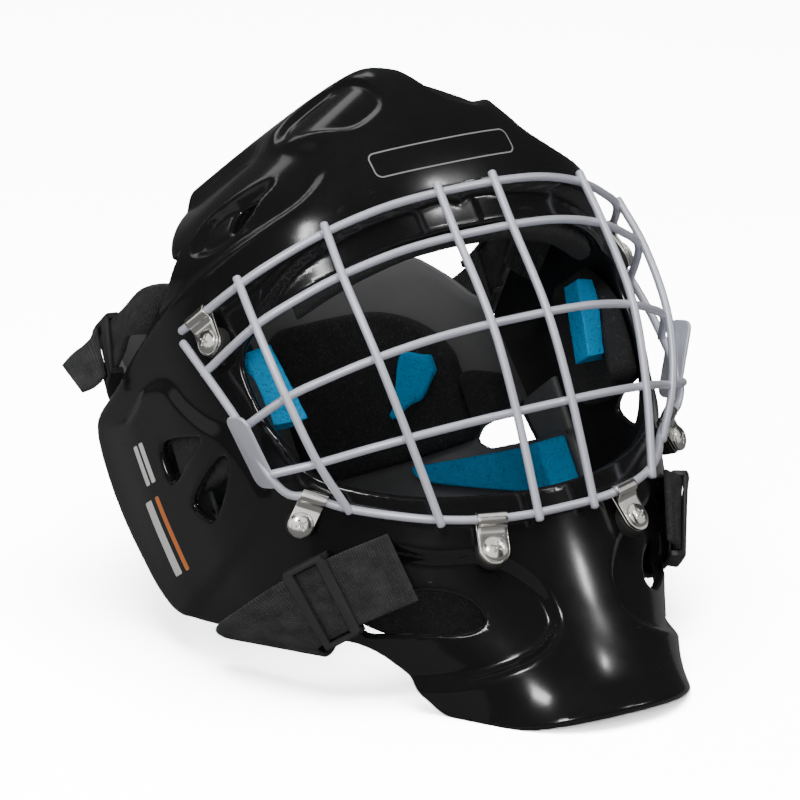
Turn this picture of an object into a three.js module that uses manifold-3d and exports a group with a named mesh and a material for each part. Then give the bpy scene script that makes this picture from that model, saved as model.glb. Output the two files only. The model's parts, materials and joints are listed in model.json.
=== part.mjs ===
// Hockey goalie mask: hard shell, welded wire cage on six screwed clips, foam lining,
// back plate and elastic harness. Millimetres, +Z up, the face looks toward -Y.
// The mask is modelled upright as a wearer would have it, in head coordinates
// (x to the side, front = -y, up = z), then leaned back the way it rests by itself.
import * as THREE from 'three';
import { mergeVertices } from 'three/addons/utils/BufferGeometryUtils.js';
import Module from 'manifold-3d';

const wasm = await Module();
wasm.setup();

// ---------------------------------------------------------------- driving sizes
const LEAN = THREE.MathUtils.degToRad(32.4); // how far the resting mask leans back
const REST_DROP = 140.17;         // cage centre above the floor once leaned back
const WALL = 4;                   // shell wall
const GAP = 0.5;                  // clearance between a pad or plate and the curved shell
const LEVEL_STEP = 30;            // height between the rows of SECTIONS
const CROWN_LEVEL = 60;           // where the crown dome starts
const CROWN_RISE = 73;            // height of the dome
const CROWN_CENTRE = -38;         // front position of the top of the dome
const CROWN_PINCH = 0.6;          // extra narrowing of the dome toward its top
const PINCH_EASE = 2.5;           // how late that narrowing comes in
const BACK_SQUARE = 3.5;          // how much squarer than an ellipse a section is at the back
const BACK_EASE = 4.5;            // how soon the dome loses that squareness
const BACK_REACH = -205;          // back of the closed form that the shell is cut from
const WIRE = 3.6;                 // cage wire diameter
const WELD_OFFSET = 2.8;          // cross wires sit behind the upright ones by this much
const BAR_NEAR = 14.1;            // half spacing of the two middle upright wires
const BAR_SPREAD = 0.667;         // where the next pair stands, of a row's reach
const SCREW_HEAD = 9.4;           // screw head diameter
const CLIP_PLATE = 1.4;           // clip sheet thickness
const STRAP_THICK = 2.4;          // elastic strap thickness

// Plan sections of the shell, from the jaw up to the brow. The section is a
// superellipse about (0, centre): half is its half width, front its foremost point.
const SECTIONS = [
  { up: -180, half: 58, front: 20, square: 2.3, centre: -62 },
  { up: -150, half: 61, front: 9, square: 2.25, centre: -66 },
  { up: -120, half: 78, front: 5, square: 2.05, centre: -72 },
  { up: -90, half: 96, front: 4, square: 1.92, centre: -80 },
  { up: -60, half: 106, front: 6, square: 1.82, centre: -85 },
  { up: -30, half: 109, front: 10, square: 1.95, centre: -85 },
  { up: 0, half: 109, front: 13, square: 2.2, centre: -85 },
  { up: 30, half: 107, front: 13, square: 2.3, centre: -85 },
  { up: 60, half: 102, front: 9, square: 2.5, centre: -85 },
];

// Side outline that the shell is trimmed to: [front, up], rear edge, crown, chin.
const SIDE_TRIM = [
  [60, 150], [-140, 150], [-140, 80], [-73, 79], [-82, 67], [-116, 50], [-150, 33],
  [-154, 28], [-155, 12], [-153, -6], [-148, -28], [-143, -46], [-137, -58], [-128, -65],
  [-113, -73], [-90, -86], [-70, -96], [-56, -101], [-49, -108], [-43, -122], [-39, -134],
  [-36, -143.1], [-12, -158.4], [3, -163], [40, -170],
];

// The crown's rear edge is an arch in plan: its middle, and how far it has come
// forward where the arch meets the side trim.
const CROWN_EDGE = { middle: -118, sweep: 47, half: 97, from: 78.5 };

// Half outline of the face opening, seen from the front: [side, up], centre to centre.
const FACE_OPENING = [
  [0, 49], [35, 47.5], [58, 43.5], [76, 39], [90, 33], [97.5, 26], [99.5, 14], [98, -4],
  [94, -18], [89, -31], [79, -42], [63, -52], [46, -58.5], [24, -63.5], [0, -65.5],
];

// Reliefs pressed into the shell. view says which two axes the outline is drawn on:
// side [front, up], face [|side|, up], top [|side|, front]. depth is inward, and runs out
// between fadeFrom and fadeTo toward the back where these are given.
const RELIEFS = [
  { name: 'brow band', view: 'face', depth: 4.5, edge: 4, outline: [
    [0, 62], [30, 61.5], [55, 58], [76, 51], [89, 40], [94, 31], [92, 22], [60, 30], [0, 36]] },
  { name: 'side scoop', view: 'side', depth: 5, edge: 7, outline: [
    [-13, 101], [-7, 93], [-5, 85], [-9, 77], [-20, 72], [-38, 67], [-62, 62], [-105, 52],
    [-140, 38], [-175, 34], [-175, 80], [-100, 112], [-66, 117], [-27, 107]] },
  { name: 'scoop crescent', view: 'side', depth: 4, edge: 5, outline: [
    [-59, 78], [-60, 85], [-55, 91], [-42, 94], [-33, 95], [-25, 94], [-28, 89], [-29, 83],
    [-36, 76], [-47, 74]] },
  { name: 'crown scoop', view: 'top', depth: 3.5, edge: 5, outline: [
    [11, -24], [11, -13], [14, -6], [21, -4], [31, -5], [38, -10], [44, -19], [47, -28],
    [48, -39], [31, -49], [14, -44]] },
  { name: 'side panel', view: 'side', depth: -2.6, edge: 5, fadeFrom: -115, fadeTo: -150, outline: [
    [-180, 25], [-124, 23], [-104, 30], [-86, 27], [-77, 16], [-67, 5], [-56, -5], [-51, -18],
    [-50, -33], [-58, -43], [-67, -48], [-83, -53], [-105, -58], [-180, -62]] },
  { name: 'jaw recess', view: 'face', depth: 5, edge: 5, outline: [
    [72, -72], [56, -81], [37, -87], [26, -96], [19, -106], [17, -115], [18, -122], [25, -129],
    [36, -133], [50, -134], [62, -131], [76, -122], [96, -104], [98, -82], [86, -72]] },
];

const VENTS = [
  { name: 'ear vent', outline: [[-101, 3], [-94, 5.5], [-76, 1.5], [-71, -2], [-95, -11], [-101, -9]] },
  { name: 'cheek vent', outline: [
    [-62, -12], [-59, -16], [-67, -27], [-77, -34], [-83, -32], [-89, -25], [-84, -20]] },
  { name: 'scoop vent', outline: [[-43, 77], [-42, 85], [-30, 84], [-34, 76]] },
];

// Strap slot in the jaw recess, seen from the front: [side, up].
const STRAP_SLOT = [
  [77, -90], [64, -91], [54, -95], [46, -101], [42, -108], [43, -113], [50, -114], [66, -107], [78, -100],
];

// Cross wires of the cage: position at the middle, how far they have swept back and
// moved at the outer upright wire (reach), and the end beside the cheek.
const CAGE_ROWS = [
  { name: 'top', front: 14.6, sweep: 37.4, up: 64.1, fall: 14.3, reach: 98.3, end: [109.5, -59, 43] },
  { name: 'brow', front: 16.4, sweep: 34.9, up: 44.1, fall: 13.4, reach: 99.7, end: [110, -52, 22] },
  { name: 'eye', front: 21, sweep: 36.6, up: 3.8, fall: 5.7, reach: 98.1, end: [108.5, -40, -6.5] },
  { name: 'mouth', front: 17.8, sweep: 36.6, up: -34, fall: -3.3, reach: 91.3, end: [106, -31.5, -29] },
];
const CAGE_FLOOR = { front: 10, sweep: 33.2, up: -76, fall: -26.1, reach: 82 };
const CAGE_SIDE = [
  [93, -31, -41.5], [100, -33.5, -38.5], [105.5, -34, -30], [108.5, -40, -3], [110.6, -51, 24],
  [110.8, -58.5, 38],
];

// Strap slides: length along the strap, bar width, bar and rail thickness, clearance.
const SLIDE = { long: 20, bar: 4.4, thick: 2.2, rail: 2.4, gap: 0.45 };

// Clips that hold the cage: where the screw stands on the shell, and the plate's width.
const CLIPS = [
  { name: 'upper', side: 101.4, up: 32.5, wide: 12 },
  { name: 'cheek', side: 92, up: -50, wide: 11 },
  { name: 'chin', side: 34.5, up: -86, wide: 13 },
];

// ---------------------------------------------------------------- small maths
const clamp01 = (v) => Math.min(1, Math.max(0, v));
const smooth = (v) => { const t = clamp01(v); return t * t * (3 - 2 * t); };

function catmull(p0, p1, p2, p3, t) {
  const a = 2 * p1 + (p2 - p0) * t + (2 * p0 - 5 * p1 + 4 * p2 - p3) * t * t;
  return 0.5 * (a + (3 * p1 - p0 - 3 * p2 + p3) * t * t * t);
}

/** Value of one SECTIONS column at height up. */
function column(name, up) {
  const last = SECTIONS.length - 1;
  const s = Math.min(last, Math.max(0, (up - SECTIONS[0].up) / LEVEL_STEP));
  const i = Math.min(last - 1, Math.floor(s));
  const at = (k) => SECTIONS[Math.min(last, Math.max(0, k))][name];
  return catmull(at(i - 1), at(i), at(i + 1), at(i + 2), s - i);
}

/** Closed outline rounded through its points, as Vector2. */
function rounded(points, steps = 4) {
  const n = points.length;
  const out = [];
  for (let i = 0; i < n; i += 1) {
    const [a, b, c, d] = [-1, 0, 1, 2].map((k) => points[(i + k + n) % n]);
    for (let s = 0; s < steps; s += 1) {
      const t = s / steps;
      out.push(new THREE.Vector2(catmull(a[0], b[0], c[0], d[0], t), catmull(a[1], b[1], c[1], d[1], t)));
    }
  }
  return out;
}

/** Signed distance from (px, py) to a closed outline, positive inside. */
function inside(outline, px, py) {
  let best = Infinity;
  let within = false;
  for (let i = 0, j = outline.length - 1; i < outline.length; j = i, i += 1) {
    const a = outline[i];
    const b = outline[j];
    const ex = b.x - a.x;
    const ey = b.y - a.y;
    const t = clamp01(((px - a.x) * ex + (py - a.y) * ey) / (ex * ex + ey * ey));
    best = Math.min(best, Math.hypot(px - a.x - ex * t, py - a.y - ey * t));
    if (a.y > py !== b.y > py && px < (ex * (py - a.y)) / ey + a.x) within = !within;
  }
  return within ? best : -best;
}

// ---------------------------------------------------------------- the shell's form
const RELIEF_OUTLINES = RELIEFS.map((relief) => ({ ...relief, edgeLine: rounded(relief.outline) }));

/** Smooth form before the reliefs: turn from the front in radians, level or dome angle. */
function formPoint(turn, level) {
  const dome = level > CROWN_LEVEL ? level - CROWN_LEVEL : 0;
  const rise = clamp01(dome / CROWN_RISE) * Math.PI / 2;
  const low = Math.min(level, CROWN_LEVEL);
  const shrink = Math.cos(rise);
  const centre0 = column('centre', low);
  const half = column('half', low) * shrink * (1 - CROWN_PINCH * Math.sin(rise) ** PINCH_EASE);
  const square = 2 + (column('square', low) - 2) * shrink;
  const frontward = Math.cos(turn) > 0;
  const reach = frontward ? (column('front', low) - centre0) * shrink : (centre0 - BACK_REACH) * shrink;
  const power = frontward ? square : 2 + BACK_SQUARE * shrink ** BACK_EASE;
  const centre = centre0 + (CROWN_CENTRE - centre0) * (1 - shrink);
  const c = Math.sign(Math.cos(turn)) * Math.abs(Math.cos(turn)) ** (2 / power);
  const s = Math.sign(Math.sin(turn)) * Math.abs(Math.sin(turn)) ** (2 / power);
  return new THREE.Vector3(half * s, centre + reach * c, low + CROWN_RISE * Math.sin(rise));
}

/** Outward normal of the smooth form (x side, y front, z up). */
function formNormal(turn, level) {
  const step = 0.01;
  const top = Math.min(level, CROWN_LEVEL + CROWN_RISE - 0.5);
  const du = formPoint(turn + step, top).sub(formPoint(turn - step, top));
  const dv = formPoint(turn, top + 0.2).sub(formPoint(turn, top - 0.2));
  const normal = du.cross(dv).normalize();
  const away = formPoint(turn, top).sub(new THREE.Vector3(0, CROWN_CENTRE, Math.min(top, CROWN_LEVEL)));
  return normal.dot(away) < 0 ? normal.negate() : normal;
}

/** How far the reliefs push the surface in at a point of the form. */
function reliefDepth(p) {
  let depth = 0;
  for (const relief of RELIEF_OUTLINES) {
    const along = { side: [p.y, p.z], face: [Math.abs(p.x), p.z], top: [Math.abs(p.x), p.y] }[relief.view];
    if (relief.view === 'top' && p.z < CROWN_LEVEL + 20) continue;
    if (relief.view === 'face' && p.y < -95) continue;
    if (relief.view === 'side' && Math.abs(p.x) < 30) continue;
    const { fadeFrom, fadeTo } = relief;
    const kept = fadeTo === undefined ? 1 : smooth((p.y - fadeTo) / (fadeFrom - fadeTo));
    depth += kept * relief.depth * smooth(0.5 + inside(relief.edgeLine, along[0], along[1]) / relief.edge);
  }
  return depth;
}

/** Point of the pressed shell, sunk below its outer skin by depth, a number or a rule of height. */
function shellPoint(turn, level, depth = 0) {
  const p = formPoint(turn, level);
  const sunk = typeof depth === 'function' ? depth(p.z) : depth;
  return p.addScaledVector(formNormal(turn, level), -(reliefDepth(p) + sunk));
}

/** Turn at which the form has the given half width on a level. */
function turnAt(side, level) {
  const ratio = Math.min(0.9999, Math.abs(side) / column('half', level));
  return Math.sign(side) * Math.asin(ratio ** (column('square', level) / 2));
}

/** Shell coordinates (side, front, up) to the group's (x, -front, up). */
const world = (p) => new THREE.Vector3(p.x, -p.y, p.z);

// ---------------------------------------------------------------- solids
/** Closed geometry to a manifold, its faces turned outward. */
function toManifold(geometry) {
  const bare = geometry.clone();
  bare.deleteAttribute('normal');
  bare.deleteAttribute('uv');
  const merged = mergeVertices(bare, 1e-4);
  const vertProperties = new Float32Array(merged.attributes.position.array);
  const triVerts = new Uint32Array(merged.index.array);
  const solid = new wasm.Manifold(new wasm.Mesh({ numProp: 3, vertProperties, triVerts }));
  if (solid.volume() > 0) return solid;
  for (let i = 0; i < triVerts.length; i += 3) [triVerts[i], triVerts[i + 1]] = [triVerts[i + 1], triVerts[i]];
  return new wasm.Manifold(new wasm.Mesh({ numProp: 3, vertProperties, triVerts }));
}

function toGeometry(manifold) {
  const mesh = manifold.getMesh();
  const geometry = new THREE.BufferGeometry();
  geometry.setAttribute('position', new THREE.BufferAttribute(mesh.vertProperties, 3));
  geometry.setIndex(new THREE.BufferAttribute(mesh.triVerts, 1));
  return geometry;
}

function fromTriangles(points, faces) {
  const geometry = new THREE.BufferGeometry();
  geometry.setAttribute('position', new THREE.Float32BufferAttribute(points.flatMap((p) => [p.x, p.y, p.z]), 3));
  geometry.setIndex(faces);
  return geometry;
}

/** Closed skin through a stack of equal rings, with a point closing each end. */
function ringSolid(rings, first, last) {
  const n = rings[0].length;
  const points = [first, ...rings.flat(), last];
  const faces = [];
  const at = (k, i) => 1 + k * n + (i % n);
  for (let i = 0; i < n; i += 1) {
    faces.push(0, at(0, i + 1), at(0, i));
    for (let k = 0; k < rings.length - 1; k += 1) {
      faces.push(at(k, i), at(k, i + 1), at(k + 1, i + 1), at(k, i), at(k + 1, i + 1), at(k + 1, i));
    }
    faces.push(points.length - 1, at(rings.length - 1, i), at(rings.length - 1, i + 1));
  }
  return toManifold(fromTriangles(points, faces));
}

/** Curved slab from two point functions of (u, v) in 0..1. */
function slab(countU, countV, top, bottom) {
  const points = [];
  const side = (fn) => {
    for (let i = 0; i <= countU; i += 1) {
      for (let j = 0; j <= countV; j += 1) points.push(fn(i / countU, j / countV));
    }
  };
  side(top);
  side(bottom);
  const layer = (countU + 1) * (countV + 1);
  const at = (k, i, j) => k * layer + i * (countV + 1) + j;
  const faces = [];
  const quad = (a, b, c, d) => faces.push(a, b, c, a, c, d);
  for (let i = 0; i < countU; i += 1) {
    for (let j = 0; j < countV; j += 1) {
      quad(at(0, i, j), at(0, i + 1, j), at(0, i + 1, j + 1), at(0, i, j + 1));
      quad(at(1, i, j), at(1, i, j + 1), at(1, i + 1, j + 1), at(1, i + 1, j));
    }
    quad(at(0, i, 0), at(1, i, 0), at(1, i + 1, 0), at(0, i + 1, 0));
    quad(at(0, i, countV), at(0, i + 1, countV), at(1, i + 1, countV), at(1, i, countV));
  }
  for (let j = 0; j < countV; j += 1) {
    quad(at(0, 0, j), at(0, 0, j + 1), at(1, 0, j + 1), at(1, 0, j));
    quad(at(0, countU, j), at(1, countU, j), at(1, countU, j + 1), at(0, countU, j + 1));
  }
  return toManifold(fromTriangles(points, faces));
}

/** Straight prism of an outline drawn on two axes; place maps (a, b, depth) to a point. */
function prism(outline, from, to, place) {
  const n = outline.length;
  const points = [];
  for (const depth of [from, to]) outline.forEach((p) => points.push(place(p.x, p.y, depth)));
  const faces = [];
  for (const [a, b, c] of THREE.ShapeUtils.triangulateShape(outline, [])) {
    faces.push(a, b, c, n + a, n + c, n + b);
  }
  const turnsLeft = THREE.ShapeUtils.area(outline) > 0;
  for (let i = 0; i < n; i += 1) {
    const j = (i + 1) % n;
    if (turnsLeft) faces.push(i, n + i, n + j, i, n + j, j);
    else faces.push(i, n + j, n + i, i, j, n + j);
  }
  return toManifold(fromTriangles(points, faces));
}

/** Placement whose Z runs along out and Y as near to up as that allows. */
function placement(up, out, at) {
  const right = new THREE.Vector3().crossVectors(up, out).normalize();
  const square = new THREE.Vector3().crossVectors(out, right);
  return new THREE.Matrix4().makeBasis(right, square, out).setPosition(at);
}

/** Round wire through points, as a manifold. */
function wire(points, diameter, steps, sides = 8) {
  const section = new THREE.Shape();
  section.absarc(0, 0, diameter / 2, 0, Math.PI * 2);
  const path = new THREE.CatmullRomCurve3(points, false, 'centripetal');
  const geometry = new THREE.ExtrudeGeometry(section, { steps, curveSegments: sides / 2, extrudePath: path });
  return toManifold(geometry);
}

const unite = (solids) => solids.reduce((all, one) => all.add(one));

const materials = {
  shell: new THREE.MeshStandardMaterial({ color: 0x0c0c0e, roughness: 0.28, metalness: 0 }),
  cage: new THREE.MeshStandardMaterial({ color: 0xa9aab2, roughness: 0.38, metalness: 0.4 }),
  nickel: new THREE.MeshStandardMaterial({ color: 0xc9c7c2, roughness: 0.25, metalness: 1 }),
  rubber: new THREE.MeshStandardMaterial({ color: 0x151515, roughness: 0.8, metalness: 0 }),
  blackFoam: new THREE.MeshStandardMaterial({ color: 0x161618, roughness: 0.95, metalness: 0 }),
  blueFoam: new THREE.MeshStandardMaterial({ color: 0x0784b4, roughness: 0.9, metalness: 0 }),
  greyPlastic: new THREE.MeshStandardMaterial({ color: 0x77777a, roughness: 0.45, metalness: 0 }),
  webbing: new THREE.MeshStandardMaterial({ color: 0x17181a, roughness: 0.92, metalness: 0 }),
  slide: new THREE.MeshStandardMaterial({ color: 0x101012, roughness: 0.45, metalness: 0 }),
};

const mask = new THREE.Group();

function addPart(name, solid, material) {
  const mesh = new THREE.Mesh(toGeometry(solid), material);
  mesh.name = name;
  mask.add(mesh);
  return mesh;
}

// ---------------------------------------------------------------- shell
const LEVELS = [-180, -166, -152, -139, -129, -121, -112, -102, -92, -83, -74, -62, -48, -34, -18, -2,
  14, 28, 37, 46, 54, 60, 67, 76, 86, 97, 108, 118, 126, 132];
const RING_STEPS = 40;

function closedForm(depth) {
  const ring = (level) => Array.from({ length: RING_STEPS }, (_, i) => {
    const turn = (i / RING_STEPS) * Math.PI * 2;
    return world(shellPoint(turn, level, depth));
  });
  const rings = LEVELS.map(ring);
  const middle = (points) => points.reduce((sum, p) => sum.add(p), new THREE.Vector3()).divideScalar(points.length);
  const bottom = middle(rings[0]);
  const top = middle(rings[rings.length - 1]);
  if (depth !== 0) bottom.z = rings[0][0].z - 2;
  return ringSolid(rings, bottom, top);
}

/** Cutter for the face opening: in from the shell toward the head's axis, and out forward. */
function faceCutter() {
  const half = FACE_OPENING;
  const ring = half.concat(half.slice(1, -1).reverse().map(([x, z]) => [-x, z]));
  const outline = rounded(ring, 2);
  const axis = -85;
  const clearOfFace = 70;
  const place = (x, z, scale) => {
    const front = formPoint(turnAt(x, z), z).y;
    if (scale > 1.1) return world(new THREE.Vector3(x * scale, clearOfFace, z));
    return world(new THREE.Vector3(x * scale, axis + (front - axis) * scale, z));
  };
  return prism(outline, 0.6, 1.03, place).add(prism(outline, 0.98, 1.2, place));
}

function shell() {
  let body = closedForm(0).subtract(closedForm(WALL));
  const trim = SIDE_TRIM.map(([f, z]) => new THREE.Vector2(f, z));
  body = body.intersect(prism(trim, -200, 200, (f, z, x) => world(new THREE.Vector3(x, f, z))));
  const { middle, sweep, half, from } = CROWN_EDGE;
  const arch = [[-140, -260]];
  for (let x = -140; x <= 140; x += 14) arch.push([x, middle + sweep * Math.abs(x / half) ** 3]);
  arch.push([140, -260]);
  const behind = arch.map(([x, f]) => new THREE.Vector2(x, f));
  body = body.subtract(prism(behind, from, 200, (x, f, z) => world(new THREE.Vector3(x, f, z))));
  body = body.subtract(faceCutter());
  for (const vent of VENTS) {
    for (const [from, to] of [[-150, -50], [50, 150]]) {
      body = body.subtract(prism(rounded(vent.outline, 2), from, to, (f, z, x) => world(new THREE.Vector3(x, f, z))));
    }
  }
  for (const side of [-1, 1]) {
    const slot = rounded(STRAP_SLOT.map(([x, z]) => [x * side, z]), 2);
    body = body.subtract(prism(slot, -60, 60, (x, z, f) => world(new THREE.Vector3(x, f, z))));
  }
  return body;
}

// ---------------------------------------------------------------- cage
const SWEEP_POWER = 2.7;

function rowPoint(row, x, behind = 0) {
  const s = Math.abs(x) / row.reach;
  return new THREE.Vector3(x, row.front - row.sweep * s ** SWEEP_POWER - behind, row.up - row.fall * s ** SWEEP_POWER);
}

function cage() {
  const parts = [];
  const rows = [...CAGE_ROWS, CAGE_FLOOR];
  for (const row of CAGE_ROWS) {
    const xs = [-0.98, -0.84, -BAR_SPREAD, -0.42, -0.2, 0, 0.2, 0.42, BAR_SPREAD, 0.84, 0.98].map((k) => k * row.reach);
    const [ex, ef, eu] = row.end;
    const line = xs.map((x) => rowPoint(row, x, WELD_OFFSET));
    line.unshift(new THREE.Vector3(-ex, ef, eu));
    line.push(new THREE.Vector3(ex, ef, eu));
    parts.push(wire(line.map(world), WIRE, 16));
  }
  const floor = [-1, -0.84, -BAR_SPREAD, -0.42, -0.2, 0, 0.2, 0.42, BAR_SPREAD, 0.84, 1]
    .map((k) => rowPoint(CAGE_FLOOR, k * CAGE_FLOOR.reach, WELD_OFFSET));
  const right = CAGE_SIDE.map(([x, f, u]) => new THREE.Vector3(x, f, u));
  const left = CAGE_SIDE.map(([x, f, u]) => new THREE.Vector3(-x, f, u)).reverse();
  parts.push(wire([...left, ...floor, ...right].map(world), WIRE, 32));
  for (const side of [-1, 1]) {
    for (const spread of [BAR_NEAR, BAR_SPREAD, 1]) {
      const at = (row) => rowPoint(row, side * (spread === BAR_NEAR ? BAR_NEAR : spread * row.reach));
      const line = rows.map(at);
      const over = (a, b) => a.clone().add(a.clone().sub(b).normalize().multiplyScalar(3.4));
      line.unshift(over(line[0], line[1]));
      line.push(over(line[line.length - 1], line[line.length - 2]));
      parts.push(wire(line.map(world), WIRE, 8));
    }
    parts.push(cheekPlate(side));
  }
  return unite(parts);
}

/** Flat plate welded over the side wire at the cheek. */
function cheekPlate(side) {
  const outline = new THREE.Shape();
  const [wide, tall, corner] = [7.5, 17, 4.5];
  outline.moveTo(-wide + corner, -tall);
  outline.absarc(wide - corner, -tall + corner, corner, -Math.PI / 2, 0);
  outline.absarc(wide - corner, tall - corner, corner, 0, Math.PI / 2);
  outline.absarc(-wide + corner, tall - corner, corner, Math.PI / 2, Math.PI);
  outline.absarc(-wide + corner, -tall + corner, corner, Math.PI, Math.PI * 1.5);
  const plate = new THREE.ExtrudeGeometry(outline, { depth: 1.6, bevelEnabled: false, curveSegments: 3 });
  const out = new THREE.Vector3(0.936 * side, 0.122, -0.33).normalize();
  plate.applyMatrix4(placement(new THREE.Vector3(0, -0.33, 0.94), out, new THREE.Vector3(side * 108.4, 36.3, -17.2)));
  return toManifold(plate);
}

addPart('cage', cage(), materials.cage);

// ---------------------------------------------------------------- clips and screws
const WASHER = 1.5;               // rubber washer under each clip
const SHANK = 4.4;                // screw shank diameter
const HOLE = 5.4;                 // hole in shell, washer and clip
const BORE_GAP = 0.6;             // clearance of the clip's barrel round the wire

const TOP_END = [0.84, 0.98].map((k) => rowPoint(CAGE_ROWS[0], k * CAGE_ROWS[0].reach, WELD_OFFSET));
TOP_END.push(new THREE.Vector3(...CAGE_ROWS[0].end));
const FLOOR_HALF = [0, 0.2, 0.42, BAR_SPREAD, 0.84, 1]
  .map((k) => rowPoint(CAGE_FLOOR, k * CAGE_FLOOR.reach, WELD_OFFSET))
  .concat(CAGE_SIDE.slice(0, 3).map((p) => new THREE.Vector3(...p)));

/** Where a clip sits: screw point, outward normal, the nearest wire point and its run. */
function clipSeat(clip, side) {
  const turn = turnAt(clip.side, clip.up);
  const skin = shellPoint(turn, clip.up);
  const step = 6;
  const east = shellPoint(turnAt(clip.side - step, clip.up), clip.up);
  const north = shellPoint(turnAt(clip.side, clip.up + step), clip.up + step);
  const normal = east.sub(skin).cross(north.sub(skin)).normalize();
  if (normal.dot(new THREE.Vector3(1, 1, 0)) < 0) normal.negate();
  const curve = new THREE.CatmullRomCurve3(clip.name === 'upper' ? TOP_END : FLOOR_HALF, false, 'centripetal');
  let best = 0;
  let least = Infinity;
  for (let i = 0; i <= 400; i += 1) {
    const gap = curve.getPoint(i / 400).distanceTo(skin);
    if (gap < least) [least, best] = [gap, i / 400];
  }
  const flip = new THREE.Vector3(side, 1, 1);
  const wireAt = curve.getPoint(best);
  const run = curve.getTangent(best);
  return {
    skin: world(skin.multiply(flip)), normal: world(normal.multiply(flip)),
    wireAt: world(wireAt.multiply(flip)), run: world(run.multiply(flip)),
  };
}

/** Frame of a clip plate: across (along the wire), up (screw to wire), out (off the shell). */
function clipFrame(clip, side, lift = WASHER + 0.7) {
  const seat = clipSeat(clip, side);
  const origin = seat.skin.clone().addScaledVector(seat.normal, lift);
  const tube = WIRE / 2 + BORE_GAP + CLIP_PLATE;
  const toWire = seat.wireAt.clone().sub(origin);
  const across = seat.run.clone().normalize();
  const lean = toWire.clone().addScaledVector(across, -toWire.dot(across));
  const reach = lean.length();
  const sink = Math.asin(Math.min(0.9, (tube - CLIP_PLATE / 2) / reach));
  const flatOut = new THREE.Vector3().crossVectors(across, lean).normalize();
  if (flatOut.dot(seat.normal) < 0) flatOut.negate();
  const up = lean.clone().normalize().multiplyScalar(Math.cos(sink)).addScaledVector(flatOut, -Math.sin(sink)).normalize();
  const out = new THREE.Vector3().crossVectors(across, up);
  if (out.dot(seat.normal) < 0) out.negate();
  const tilt = Math.tan(Math.acos(Math.min(1, out.dot(seat.normal))));
  const needed = WASHER + 1.6 + tilt * clip.wide / 2;
  if (needed > lift + 0.05) return clipFrame(clip, side, needed);
  const shift = toWire.dot(across);
  return { seat, lift, origin, across, up, out, wireAt: seat.wireAt, reach: reach * Math.cos(sink), shift, tube };
}

/** Round disc or bar about a placement's Z, from one height on it to another. */
function disc(radius, from, to, matrix, segments = 9) {
  const shape = new THREE.Shape();
  shape.absarc(0, 0, radius, 0, Math.PI * 2);
  const geometry = new THREE.ExtrudeGeometry(shape, { depth: to - from, bevelEnabled: false, curveSegments: segments });
  geometry.translate(0, 0, from);
  geometry.applyMatrix4(matrix);
  return toManifold(geometry);
}

/** Bar along the wire at a clip, longer than the clip by extra. */
function barrel(frame, radius, wide, extra = 0) {
  const along = new THREE.Vector3().crossVectors(frame.up, frame.across).normalize();
  const third = new THREE.Vector3().crossVectors(frame.across, along);
  const matrix = new THREE.Matrix4().makeBasis(along, third, frame.across).setPosition(frame.wireAt);
  return disc(radius, -wide / 2 - extra, wide / 2 + extra, matrix);
}

function clipSolid(frame, wide) {
  const { origin, across, up, out, reach, shift, tube } = frame;
  const plateShape = new THREE.Shape();
  const round = wide / 2;
  plateShape.moveTo(-round + shift, reach);
  plateShape.lineTo(-round, 0);
  plateShape.absarc(0, 0, round, Math.PI, Math.PI * 2);
  plateShape.lineTo(round + shift, reach);
  plateShape.closePath();
  plateShape.holes.push(new THREE.Path().absarc(0, 0, HOLE / 2, 0, Math.PI * 2, true));
  const plate = new THREE.ExtrudeGeometry(plateShape, { depth: CLIP_PLATE, bevelEnabled: false, curveSegments: 6 });
  const right = new THREE.Vector3().crossVectors(up, out);
  if (right.dot(across) < 0) plate.scale(-1, 1, 1);
  plate.applyMatrix4(placement(up, out, origin));
  const solid = toManifold(plate);
  return solid.add(barrel(frame, tube, wide)).subtract(barrel(frame, WIRE / 2 + BORE_GAP, wide, 5));
}

function screwSolid(frame) {
  const { origin, up, out, lift } = frame;
  const matrix = placement(up, out, origin);
  const seat = CLIP_PLATE + 0.3;
  const head = SCREW_HEAD / 2;
  const tip = -(lift + WALL + 2);
  const profile = [[0, tip], [SHANK / 2 - 0.5, tip], [SHANK / 2, tip + 0.6], [SHANK / 2, seat], [head, seat],
    [head, seat + 0.8], [head * 0.85, seat + 1.8], [head * 0.5, seat + 2.5], [0, seat + 2.7]];
  const body = new THREE.LatheGeometry(profile.map(([r, h]) => new THREE.Vector2(r, h)), 12);
  body.rotateX(Math.PI / 2);
  body.applyMatrix4(matrix);
  let solid = toManifold(body);
  for (const [a, b] of [[4.6, 1], [1, 4.6]]) {
    const slot = new THREE.BoxGeometry(a, b, 2);
    slot.translate(0, 0, seat + 2.4);
    slot.applyMatrix4(matrix);
    solid = solid.subtract(toManifold(slot));
  }
  return solid;
}

let shellSolid = shell();
for (const side of [-1, 1]) {
  const hand = side < 0 ? 'right' : 'left';
  for (const clip of CLIPS) {
    const frame = clipFrame(clip, side);
    const matrix = placement(frame.up, frame.out, frame.origin);
    const drill = disc(HOLE / 2, -14, 1, matrix, 6);
    const base = placement(frame.up, frame.seat.normal, frame.seat.skin);
    shellSolid = shellSolid.subtract(drill).subtract(barrel(frame, frame.tube + 0.4, clip.wide, 0.4));
    addPart(`clip_${clip.name}_${hand}`, clipSolid(frame, clip.wide), materials.nickel);
    addPart(`screw_${clip.name}_${hand}`, screwSolid(frame), materials.nickel);
    addPart(`washer_${clip.name}_${hand}`, disc(clip.wide / 2 + 0.7, 0.4, WASHER + 0.2, base).subtract(drill),
      materials.rubber);
  }
}
addPart('shell', shellSolid, materials.shell);

// ---------------------------------------------------------------- lining
const INNER = WALL + GAP;

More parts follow.
